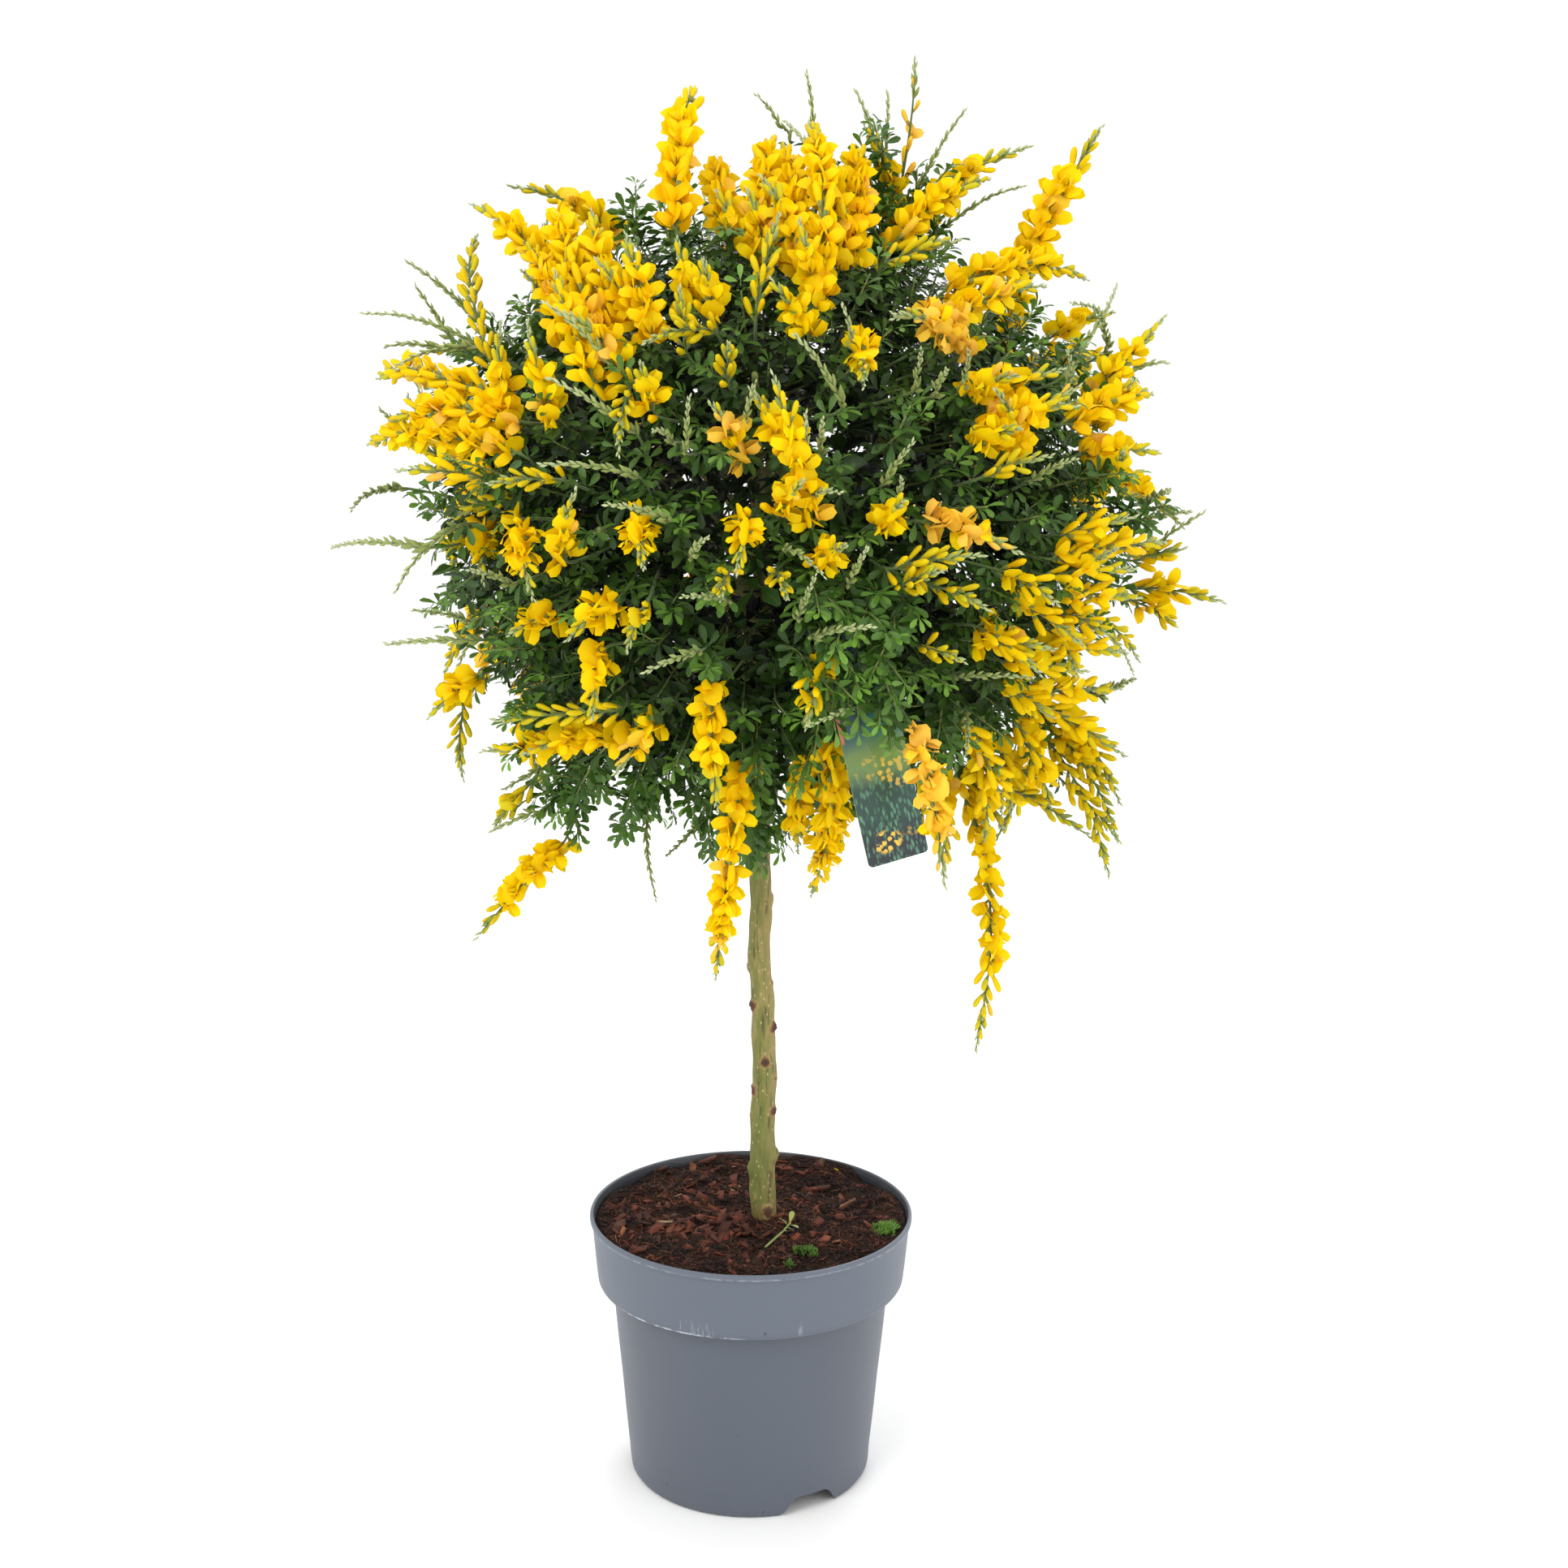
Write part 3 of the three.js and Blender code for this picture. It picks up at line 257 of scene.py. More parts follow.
def pathFrames(path):
    # one side vector carried along the path without twist
    along = unit(np.gradient(path, axis=0))
    side = np.cross([0, 0, 1] if abs(along[0][2]) < 0.9 else [1, 0, 0], along[0])
    sides = []
    for way in along:
        side = unit(side - way * (side @ way))
        sides.append(side)
    sides = np.array(sides)
    return along, sides, np.cross(along, sides)


# Forms: small meshes that are stamped many times. x is across, y forward and z up

def sheetForm(across, along, place, part=0.0):
    v, u = np.meshgrid(np.linspace(0, 1, along + 1), np.linspace(-1, 1, across + 1), indexing="ij")
    k = np.arange(along * (across + 1)).reshape(along, across + 1)[:, :-1].ravel()
    return {
        "verts": np.stack(place(u, v), -1).reshape(-1, 3),
        "form": columns(u, v, part).reshape(-1, 3),
        "loops": np.stack([k, k + 1, k + across + 2, k + across + 1], 1).ravel(),
        "counts": np.full(len(k), 4),
    }


def ringFaces(rings, sides):
    # the faces between each ring of points and the next
    k = np.arange((rings - 1) * sides).reshape(-1, sides)
    n = np.roll(k, -1, 1)
    return np.stack([k, n, n + sides, k + sides], -1).reshape(-1, 4)


def spindleForm(sides, rings, part=0.0, bend=0.0):
    # rings: distance forward, half width, half height
    turn, last = turns(sides), rings[-1][0]
    quads = ringFaces(len(rings), sides)
    return {
        "verts": np.vstack([columns(np.cos(turn) * wide, y, np.sin(turn) * high + bend * (y / last) ** 2)
                            for y, wide, high in rings]),
        "form": np.vstack([columns(np.cos(turn), row[0] / last, part) for row in rings]),
        "loops": np.concatenate([quads.ravel(), (len(rings) - 1) * sides + np.arange(sides)]),
        "counts": np.append(np.full(len(quads), 4), sides),
    }


def joinForms(forms):
    starts = np.cumsum([0] + [len(f["verts"]) for f in forms])
    return {
        "verts": np.vstack([f["verts"] for f in forms]),
        "form": np.vstack([f["form"] for f in forms]),
        "loops": np.concatenate([f["loops"] + start for f, start in zip(forms, starts)]),
        "counts": np.concatenate([f["counts"] for f in forms]),
    }


def newPile():
    return {"verts": [], "form": [], "draw": [], "loops": [], "counts": [], "size": 0}


def addPart(pile, verts, form, draw, loops, counts):
    pile["loops"].append(loops + pile["size"])
    pile["size"] += len(verts)
    for key, values in (("verts", verts), ("form", form), ("draw", draw), ("counts", counts)):
        pile[key].append(values)


def stamp(pile, form, places, axes, sizes, draws):
    # axes: side, forward and up of each copy; draws: three numbers that the materials read
    places, axes, sizes, draws = (np.asarray(a, float) for a in (places, axes, sizes, draws))
    count, each = len(places), len(form["verts"])
    if count:
        verts = np.einsum("mk,nkj->nmj", form["verts"], axes * sizes[:, None, None]) + places[:, None]
        loops = form["loops"][None] + np.arange(count)[:, None] * each
        addPart(pile, verts.reshape(-1, 3), np.tile(form["form"], (count, 1)),
                np.repeat(draws, each, axis=0), loops.ravel(), np.tile(form["counts"], count))


def addRings(pile, verts, form, draw, sides, inward=False):
    # a skin over rings of points, closed at both ends
    first = np.arange(sides)
    quads, ends = ringFaces(len(verts) // sides, sides), [first[::-1], len(verts) - sides + first]
    if inward:
        quads, ends = quads[:, [0, 3, 2, 1]], [end[::-1] for end in ends]
    addPart(pile, verts, form, draw, np.concatenate([quads.ravel(), *ends]),
            np.append(np.full(len(quads), 4), [sides, sides]))


def addTube(pile, path, radii, sides, draw):
    side, across = pathFrames(path)[1:]
    turn, share = turns(sides), np.linspace(0, 1, len(path))
    radii = np.interp(share, np.linspace(0, 1, len(radii)), radii)
    ring = np.cos(turn)[None, :, None] * side[:, None] + np.sin(turn)[None, :, None] * across[:, None]
    verts = (path[:, None] + ring * radii[:, None, None]).reshape(-1, 3)
    form = columns(np.tile(np.cos(turn), len(path)), np.repeat(share, sides), 0)
    addRings(pile, verts, form, np.tile(np.asarray(draw, float), (len(verts), 1)), sides)


def addStalk(pile, path, radii, draw):
    addTube(pile, path[::3] if len(path) > 12 else path, radii, 4, draw)


def addObject(name, data):
    made = bpy.data.objects.new(name, data)
    bpy.context.scene.collection.objects.link(made)
    return made


def sheetMesh(name, sheet):
    mesh = bpy.data.meshes.new(name)
    sheet.to_mesh(mesh)
    sheet.free()
    return mesh


def placePiece(name, mesh, material, nodes=()):
    piece = addObject(name, mesh)
    mesh.materials.append(material)
    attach(piece, rootBody)
    if nodes:
        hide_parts(*nodes)
    return piece


triangles = {"all": 0, "largest": 0}


def pilePiece(name, pile, material, nodes=(), smooth=True):
    verts = (np.vstack(pile["verts"]) * mm).astype(np.float32)
    loops = np.concatenate(pile["loops"]).astype(np.int32)
    counts = np.concatenate(pile["counts"])
    own = int((counts - 2).sum())
    triangles["all"] += own
    triangles["largest"] = max(triangles["largest"], own)
    mesh = bpy.data.meshes.new(name)
    mesh.vertices.add(len(verts))
    mesh.vertices.foreach_set("co", verts.ravel())
    mesh.loops.add(len(loops))
    mesh.loops.foreach_set("vertex_index", loops)
    mesh.polygons.add(len(counts))
    mesh.polygons.foreach_set("loop_start", (np.cumsum(counts) - counts).astype(np.int32))
    mesh.update(calc_edges=True)
    for key in ("form", "draw"):
        values = np.vstack(pile[key]).astype(np.float32)
        mesh.attributes.new(key, "FLOAT_VECTOR", "POINT").data.foreach_set("vector", values.ravel())
    if smooth:
        mesh.shade_smooth()
    return placePiece(name, mesh, material, nodes)


# Material helpers

work = {}    # the material that is being made, and the node tree that nodes are added to


def newMaterial(name):
    work["material"] = bpy.data.materials.new(name)
    work["material"].use_nodes = True
    work["tree"] = work["material"].node_tree
    work["tree"].nodes.clear()


def addNode(kind, values, **options):
    tree = work["tree"]
    node = tree.nodes.new(kind)
    for key, value in options.items():
        setattr(node, key, value)
    for key, value in values.items():
        if isinstance(value, bpy.types.NodeSocket):
            tree.links.new(value, node.inputs[key])
        else:
            node.inputs[key].default_value = value
    return node


def rgb(red, green, blue):
    # a colour as it shows on the screen, 0 to 255, made linear
    def linear(c):
        c /= 255
        return c / 12.92 if c <= 0.04045 else ((c + 0.055) / 1.055) ** 2.4

    return (linear(red), linear(green), linear(blue), 1.0)


def ramp(factor, stops):
    node = addNode("ShaderNodeValToRGB", {"Fac": factor})
    points = node.color_ramp.elements
    while len(points) < len(stops):
        points.new(0.5)
    for point, (at, colour) in zip(points, stops):
        point.position = at
        point.color = colour
    return node.outputs["Color"]


def mathNode(operation, a, b=0.0):
    return addNode("ShaderNodeMath", {0: a, 1: b}, operation=operation).outputs[0]


def times(first, *others):
    for value in others:
        first = mathNode("MULTIPLY", first, value)
    return first


def plus(a, b, share=1.0):
    return mathNode("ADD", a, b if share == 1.0 else times(b, share))


def minus(a, b):
    return mathNode("SUBTRACT", a, b)


def apart(value, centre):
    # how far a value is from a centre, either way
    return mathNode("ABSOLUTE", minus(value, centre))


def spread(value, reach, results, curve="LINEAR"):
    # maps one range of a value to another and holds it at the ends
    return addNode("ShaderNodeMapRange", {
        "Value": value, "From Min": reach[0], "From Max": reach[1],
        "To Min": results[0], "To Max": results[1],
    }, interpolation_type=curve).outputs["Result"]


def mixColour(factor, a, b):
    return addNode("ShaderNodeMix", {0: factor, 6: a, 7: b}, data_type="RGBA").outputs[2]


def paint(colour, layers):
    # lays colours over the first one, each through its own mask
    for mask, over in layers:
        colour = mixColour(mask, colour, over)
    return colour


def objectPlace():
    return addNode("ShaderNodeTexCoord", {}).outputs["Object"]


def axesOf(vector):
    return addNode("ShaderNodeSeparateXYZ", {0: vector}).outputs


def attribute(name, output="Vector"):
    return addNode("ShaderNodeAttribute", {}, attribute_name=name).outputs[output]


def splitAttribute(name):
    return axesOf(attribute(name))


def stretched(place, scale, location=(0, 0, 0), rotation=(0, 0, 0)):
    return addNode("ShaderNodeMapping", {
        "Vector": place, "Location": location, "Rotation": rotation, "Scale": scale}).outputs[0]


def noise(place, scale, detail, rough=0.5, bent=0.0):
    return addNode("ShaderNodeTexNoise", {
        "Vector": place, "Scale": scale, "Detail": detail, "Roughness": rough, "Distortion": bent,
    }).outputs["Fac"]


def cells(place, scale):
    return addNode("ShaderNodeTexVoronoi", {"Vector": place, "Scale": scale}).outputs


def bump(height, strength, distance):
    return addNode("ShaderNodeBump", {
        "Height": height, "Strength": strength, "Distance": distance}).outputs["Normal"]


def finish(shader):
    addNode("ShaderNodeOutputMaterial", {"Surface": shader.outputs[0]})
    return work["material"]


def skin(colour, rough, values):
    return addNode("ShaderNodeBsdfPrincipled", {"Base Color": colour, "Roughness": rough, **values})


def newGroup(name, inputs, outputs):
    tree = work["tree"] = bpy.data.node_groups.new(name, "ShaderNodeTree")
    for socket, value in inputs.items():
        made = tree.interface.new_socket(name=socket, in_out="INPUT", socket_type="NodeSocketFloat")
        made.default_value = value
    for socket in outputs:
        tree.interface.new_socket(name=socket, in_out="OUTPUT", socket_type="NodeSocketFloat")
    return tree.nodes.new("NodeGroupInput").outputs


def useGroup(group, *values):
    return addNode("ShaderNodeGroup", dict(enumerate(values)), node_tree=group).outputs


def makeMottle():
    # two sizes of soft blotches, as a factor that darkens or lightens and as a height
    given = newGroup(
        "mottle", {"Blotch Scale": 60.0, "Grain Scale": 900.0, "Grain Share": 0.4}, ["Mask", "Grain"])
    place = objectPlace()
    blotch = noise(place, given["Blotch Scale"], 3.0)
    grain = noise(place, given["Grain Scale"], 4.0)
    mixed = addNode("ShaderNodeMix", {0: given["Grain Share"], 2: blotch, 3: grain}, data_type="FLOAT")
    addNode("NodeGroupOutput", {"Mask": mixed.outputs[0], "Grain": grain})
    return work["tree"]


def makeVeining():
    # midrib and slanting side veins of a leaf or petal, from its own across and along values
    given = newGroup(
        "veining", {"Across": 0.0, "Along": 0.0, "Veins": 7.0, "Rib Width": 0.12}, ["Rib", "Veins"])
    slant, veinWidth = 0.35, 0.16
    off = mathNode("ABSOLUTE", given["Across"])
    rib = spread(off, (0.0, given["Rib Width"]), (1.0, 0.0), "SMOOTHSTEP")
    wave = times(minus(given["Along"], times(off, slant)), given["Veins"])
    near = apart(mathNode("FRACT", wave), 0.5)
    line = spread(near, (0.0, veinWidth), (1.0, 0.0), "SMOOTHSTEP")
    addNode("NodeGroupOutput", {"Rib": rib, "Veins": line})
    return work["tree"]


mottle = makeMottle()
veining = makeVeining()


def thinShader(colour, share, rough, normal, values):
    # a leaf or petal: a glossy skin that also lets some light through
    front = skin(colour, rough, {"Normal": normal, **values})
    through = addNode("ShaderNodeBsdfTranslucent", {"Color": colour, "Normal": normal})
    return finish(addNode("ShaderNodeMixShader", {0: share, 1: front.outputs[0], 2: through.outputs[0]}))


petalLook = {
    "young": rgb(208, 208, 46),      # closed flowers near the tip
    "fresh": rgb(255, 228, 6),
    "deep": rgb(255, 208, 4),
    "amber": rgb(250, 176, 18),
    "peach": rgb(255, 204, 96),
    "throat": rgb(232, 168, 10),
    "lightThrough": 0.3,
}


def makePetalMaterial():
    look = petalLook
    newMaterial("yellow_petal")
    across, along = splitAttribute("form")[:2]
    shade, age, peach = splitAttribute("draw")
    blotch = useGroup(mottle, 160.0, 1400.0, 0.3)
    veins = useGroup(veining, across, along, 9.0, 0.1)["Veins"]
    ripening = ramp(age, [(0.0, look["young"]), (0.22, look["fresh"]), (0.6, look["fresh"]),
                          (0.85, look["deep"]), (1.0, look["amber"])])
    colour = paint(ripening, [
        (times(plus(shade, blotch["Mask"], 0.6), 0.34), look["deep"]),
        (times(peach, 0.8), look["peach"]),
        (spread(along, (0.0, 0.4), (0.55, 0.0)), look["throat"]),
        (times(veins, 0.07), look["amber"]),
    ])
    return thinShader(colour, look["lightThrough"], 0.5, bump(veins, 0.2, 0.0003),
                      {"Specular IOR Level": 0.1})


greenLook = {
    "stalk": rgb(102, 130, 60),
    "calyx": rgb(134, 152, 58),
    "bud": rgb(172, 186, 98),
    "tip": rgb(212, 220, 168),       # pale downy ends of the bud spikes
    "spent": rgb(206, 112, 36),
    "shade": rgb(62, 84, 34),
    "lightThrough": 0.15,
}


def makeGreenMaterial():
    # stalks, calyces and green buds; age 0 is a stalk, 0.35 a calyx, 0.7 a bud, 1 a downy tip
    look = greenLook
    newMaterial("green_bud")
    shade, age, spent = splitAttribute("draw")
    ages = ramp(age, [(0.0, look["stalk"]), (0.35, look["calyx"]), (0.7, look["bud"]), (1.0, look["tip"])])
    blotch = useGroup(mottle, 220.0, 1800.0, 0.4)
    dark = mixColour(0.55, ages, look["shade"])
    tone = times(plus(shade, blotch["Mask"]), 0.34)
    colour = paint(ages, [(tone, dark), (spent, look["spent"])])
    return thinShader(colour, look["lightThrough"], 0.62, bump(blotch["Grain"], 0.25, 0.0003),
                      {"Sheen Weight": 0.3, "Sheen Roughness": 0.5})


leafLook = {
    # painted shade for leaves deep inside the crown
    "inner": rgb(7, 13, 7),
    "dark": rgb(30, 60, 21),
    "mid": rgb(72, 112, 34),
    "young": rgb(122, 168, 60),
    "rib": rgb(116, 148, 86),
    "lightThrough": 0.2,
}


def makeLeafMaterial():
    # draw: shade, youth, and how deep inside the crown the leaf sits, which darkens it with painted shade
    look = leafLook
    newMaterial("broom_leaf")
    across, along = splitAttribute("form")[:2]
    shade, youth, depth = splitAttribute("draw")
    blotch = useGroup(mottle, 120.0, 1500.0, 0.35)
    veins = useGroup(veining, across, along, 6.0, 0.16)
    colour = paint(ramp(shade, [(0.0, look["dark"]), (1.0, look["mid"])]), [
        (times(blotch["Mask"], 0.4), look["mid"]),
        (youth, look["young"]),
        (times(veins["Rib"], 0.32), look["rib"]),
        (spread(mathNode("ABSOLUTE", across), (0.8, 1.0), (0.0, 0.3)), look["rib"]),   # edge
        # painted shade, darker the deeper the leaf sits inside the crown
        (depth, look["inner"]),
    ])
    height = minus(times(veins["Veins"], 0.3), veins["Rib"])
    return thinShader(colour, look["lightThrough"], 0.42, bump(height, 0.35, 0.0004),
                      {"Specular IOR Level": 0.4})


barkLook = {
    "olive": rgb(126, 122, 62),
    "green": rgb(96, 108, 46),
    "tan": rgb(166, 144, 92),
    "lowGreen": rgb(90, 106, 42),
    "crack": rgb(58, 44, 26),
    "dot": rgb(190, 176, 122),
    "brown": rgb(112, 90, 44),
    "knot": rgb(98, 58, 38),
    "foot": (0.196, 0.218),          # the bark is browner between these heights
    "greenBelow": (0.23, 0.42),
}


def makeBarkMaterial():
    # draw: shade, how much of a knot, and how thin and green the wood is
    look = barkLook
    newMaterial("olive_bark")
    knot, thin = splitAttribute("draw")[1:]
    side = splitAttribute("form")[0]
    place = objectPlace()
    grain = stretched(place, (1.0, 1.0, 0.24))
    streak, broad = noise(grain, 300.0, 5.0), noise(grain, 90.0, 2.0)
    dots = cells(stretched(place, (1.0, 1.0, 0.55)), 300.0)["Distance"]
    pale = spread(dots, (0.13, 0.22), (0.8, 0.0))
    height = axesOf(place)["Z"]
    low = times(spread(height, look["greenBelow"], (0.75, 0.0)), broad)
    # dark cracks that run up the stem, and pale dots between them
    crack = noise(stretched(place, (1.0, 1.0, 0.1)), 330.0, 3.0, bent=0.8)
    foot = times(spread(height, look["foot"], (0.85, 0.0)),
                 spread(streak, (0.35, 0.5), (0.3, 1.0)))
    scar = ramp(knot, [(0.2, look["tan"]), (0.6, look["knot"]), (0.95, look["crack"])])
    wood = ramp(streak, [(0.3, look["green"]), (0.52, look["olive"]), (0.72, look["tan"])])
    colour = paint(wood, [
        (times(broad, 0.5), look["olive"]),
        (spread(side, (0.1, 0.9), (0.0, 0.6)), look["tan"]),
        (low, look["lowGreen"]),
        (spread(crack, (0.4, 0.34), (0.0, 0.6)), look["crack"]),
        (pale, look["dot"]),
        (foot, look["brown"]),
        (spread(knot, (0.08, 0.4), (0.0, 1.0)), scar),
        (thin, greenLook["stalk"]),
    ])
    relief = bump(plus(streak, pale, 0.5), 0.5, 0.0008)
    return finish(skin(colour, 0.72, {"Normal": relief}))


petalMaterial = makePetalMaterial()
greenMaterial = makeGreenMaterial()
leafMaterial = makeLeafMaterial()
barkMaterial = makeBarkMaterial()
report("leaf, petal and bark materials made")


# Camera and light

cameraSettings = {
    "place": (0.0217, -1.531, 0.839),
    "pitch": 78.45,      # degrees from looking straight down
    "roll": 0.52,
    "lens": 50.0,
    "sensor": 36.0,
    "farEnd": 20,
}

lightSettings = {
    "sky": (1.0, 1.0, 1.0),
    "skyStrength": 1.05,
    "aim": (0, 0, 0.6),
    "panels": [   # name, place, size, watts, colour
        ("key", (-1.3, -1.9, 2.5), 1.6, 34, (1.0, 0.985, 0.96)),
        ("fill", (1.9, -1.5, 1.4), 1.8, 14, (0.97, 0.985, 1.0)),
        ("back", (0.4, 1.9, 2.3), 1.6, 22, (1.0, 1.0, 1.0)),
    ],
    "floorRadius": 8,
    "floorColours": [(0.3, rgb(250, 250, 250)), (0.7, rgb(252, 252, 252))],
}


def makeCamera():
    settings = cameraSettings
    data = bpy.data.cameras.new("photo_camera")
    data.lens = settings["lens"]
    data.sensor_width = settings["sensor"]
    data.clip_end = settings["farEnd"]
    camera = addObject("photo_camera", data)
    turn = Matrix.Rotation(math.radians(settings["pitch"]), 4, "X")
    turn = turn @ Matrix.Rotation(math.radians(settings["roll"]), 4, "Z")
    camera.matrix_world = Matrix.Translation(settings["place"]) @ turn
    bpy.context.scene.camera = camera


def makeLights():
    settings = lightSettings
    world = bpy.data.worlds.new("studio")
    world.use_nodes = True
    sky = world.node_tree.nodes["Background"]
    sky.inputs["Color"].default_value = (*settings["sky"], 1.0)
    sky.inputs["Strength"].default_value = settings["skyStrength"]
    bpy.context.scene.world = world
    for name, place, size, watts, colour in settings["panels"]:
        data = bpy.data.lights.new(name, "AREA")
        data.shape = "DISK"
        data.size = size
        data.energy = watts
        data.color = colour
        light = addObject(name, data)
        light.location = place
        light.rotation_euler = (Vector(settings["aim"]) - Vector(place)).to_track_quat("-Z", "Y").to_euler()


def makeFloor():
    newMaterial("pale_floor")
    noisy = addNode("ShaderNodeTexNoise", {"Scale": 3.0, "Detail": 2.0}).outputs["Fac"]
    material = finish(skin(ramp(noisy, lightSettings["floorColours"]), 0.8, {}))
    sheet = bmesh.new()
    bmesh.ops.create_circle(sheet, cap_ends=True, segments=64, radius=lightSettings["floorRadius"])
    mesh = sheetMesh("floor", sheet)
    mesh.materials.append(material)
    floor = addObject("floor", mesh)


makeCamera()
makeLights()
makeFloor()
bpy.context.scene.view_settings.view_transform = "Standard"
report("camera, light and floor made")


# Pot

potSettings = {
    "sides": 144,
    "outside": [   # radius and height, from the foot up to the lip
        (87.0, 0.0), (88.6, 0.9), (90.1, 3.2), (90.6, 6.0), (91.3, 19.4), (91.5, 20.1), (91.6, 20.8),
        (94.2, 48.0), (96.4, 74.0), (99.2, 102.0), (101.2, 124.0), (103.2, 146.6), (103.6, 148.6),
        (104.6, 149.6), (112.5, 150.7), (113.6, 151.2), (114.2, 152.4), (114.5, 154.4), (115.3, 162.0),
        (117.2, 183.0), (118.3, 195.6), (118.7, 196.9), (119.7, 197.3), (120.0, 198.2), (120.0, 200.6),
        (119.5, 201.7),
    ],
    "inside": [    # and over the lip down to the floor
        (118.4, 202.0), (117.4, 201.5), (116.6, 199.8), (116.1, 195.0), (115.0, 183.0), (112.7, 157.0),
        (111.6, 154.4), (102.6, 152.4), (101.2, 150.4), (100.8, 146.0), (88.2, 8.2), (0.02, 8.2),
        (0.02, 6.0), (78.0, 6.0), (80.0, 0.0),
    ],
    "wall": 1.4,                 # anything this far behind the outside counts as inside
    "creaseAngle": 38,
    "notches": (31, 151, 271),   # degrees to the right of the front
    "notchDepth": (70, 96),
    "notch": [(-26, -2), (26, -2), (20, 5), (17, 10), (13, 13.2), (10, 14), (-10, 14), (-13, 13.2), (-17, 10),
              (-20, 5)],
    "drains": (0, 90, 180, 270),
    "drainRing": 58,
    "drainRadius": 6,
    "drainTop": 20,
    "plastic": rgb(79, 85, 96),
    "collar": rgb(90, 98, 110),
    "cloud": rgb(100, 108, 120),
    # painted shade for the pot's inside wall
    "inner": rgb(40, 40, 42),
    # colour of the scuffs and scratches, and of the painted highlight along the rim's lower edge
    "scuffAndHighlight": rgb(206, 212, 220),
    "speck": rgb(44, 46, 50),
    "ledgeEdge": 0.1517,         # heights in metres, as the material reads them
    "scratchStart": (0.1510, 0.1516),
    "scratchEnd": (0.154, 0.164),
    "lipEdge": 0.1984,
}


def makePotMaterial():
    look = potSettings
    newMaterial("slate_plastic")
    place = objectPlace()
    left, back, height = axesOf(place)
    blotch = useGroup(mottle, 14.0, 1200.0, 0.25)["Mask"]
    turn = mathNode("ARCTAN2", times(left, -1.0), times(back, -1.0))

    def near(value, centre, reach, results=(1.0, 0.0)):
        return spread(apart(value, centre), reach, results)

    # scuffs along the collar's lower edge, mostly left of the front, with scratches above them
    worn = spread(noise(place, 150.0, 8.0, 0.7), (0.42, 0.56), (0.0, 0.9))
    band = near(height, look["ledgeEdge"], (0.0004, 0.0013))
    scuffs = times(band, worn, near(turn, 0.5, (0.25, 0.5), (0.9, 0.03)))
    lines = addNode("ShaderNodeCombineXYZ", {"X": times(turn, 60.0), "Y": times(height, 60.0)})
    scratch = spread(noise(lines.outputs[0], 1.0, 3.0, 0.7), (0.52, 0.64), (0.0, 0.34))
    where = mathNode("MAXIMUM", near(turn, 0.33, (0.07, 0.14)), near(turn, -0.34, (0.015, 0.04), (0.8, 0.0)))
    above = times(spread(height, look["scratchStart"], (0.0, 1.0)),
                  spread(height, look["scratchEnd"], (1.0, 0.0)))
    scuffs = mathNode("MAXIMUM", scuffs, times(scratch, where, above))
    # a painted highlight along the rim's lower edge, broken up by the wear noise
    lip = times(near(height, look["lipEdge"], (0.0003, 0.001)), times(worn, 0.22))
    speck = spread(cells(place, 34.0)["Distance"], (0.028, 0.045), (0.7, 0.0))
    plain = ramp(times(height, 5.0), [(0.0, look["plastic"]), (0.74, look["plastic"]),
                                      (0.78, look["collar"]), (1.0, look["collar"])])
    colour = paint(plain, [
        (times(blotch, 0.22), look["cloud"]),
        # scuffs and scratches, with the painted highlight on the rim
        (mathNode("MAXIMUM", scuffs, lip), look["scuffAndHighlight"]),
        (speck, look["speck"]),
        # painted shade over the inside of the pot
        (times(attribute("inside", "Fac"), 0.75), look["inner"]),
    ])
    grain = bump(noise(place, 500.0, 3.0), 0.06, 0.001)
    rough = spread(blotch, (0.0, 1.0), (0.34, 0.56))
    return finish(skin(colour, rough, {"Normal": grain, "Specular IOR Level": 0.5}))


def addWall(sheet, lower, upper):
    for k in range(len(lower)):
        n = (k + 1) % len(lower)
        sheet.faces.new((lower[k], lower[n], upper[n], upper[k]))


def latheMesh(name, profile, sides):
    sheet = bmesh.new()
    rings = []
    for radius, height in profile:
        rings.append([sheet.verts.new((radius * math.sin(a) * mm, -radius * math.cos(a) * mm, height * mm))
                      for a in turns(sides)])
    for lower, upper in zip(rings, rings[1:] + rings[:1]):
        addWall(sheet, lower, upper)
    bmesh.ops.recalc_face_normals(sheet, faces=sheet.faces)
    return sheetMesh(name, sheet)


def cutPot(pot, near, far, azimuth):
    # takes a prism out of the pot, given by its two ends
    sheet = bmesh.new()
    ends = [[sheet.verts.new([c * mm for c in point]) for point in outline] for outline in (near, far)]
    sheet.faces.new(ends[0])
    sheet.faces.new(ends[1][::-1])
    addWall(sheet, *ends)
    bmesh.ops.recalc_face_normals(sheet, faces=sheet.faces)
    bmesh.ops.rotate(sheet, verts=sheet.verts, matrix=Matrix.Rotation(math.radians(azimuth), 3, "Z"))
    cut = pot.modifiers.new("cut", "BOOLEAN")
    cut.operation = "DIFFERENCE"
    cut.solver = "EXACT"
    cut.object = addObject("cutter", sheetMesh("cutter", sheet))


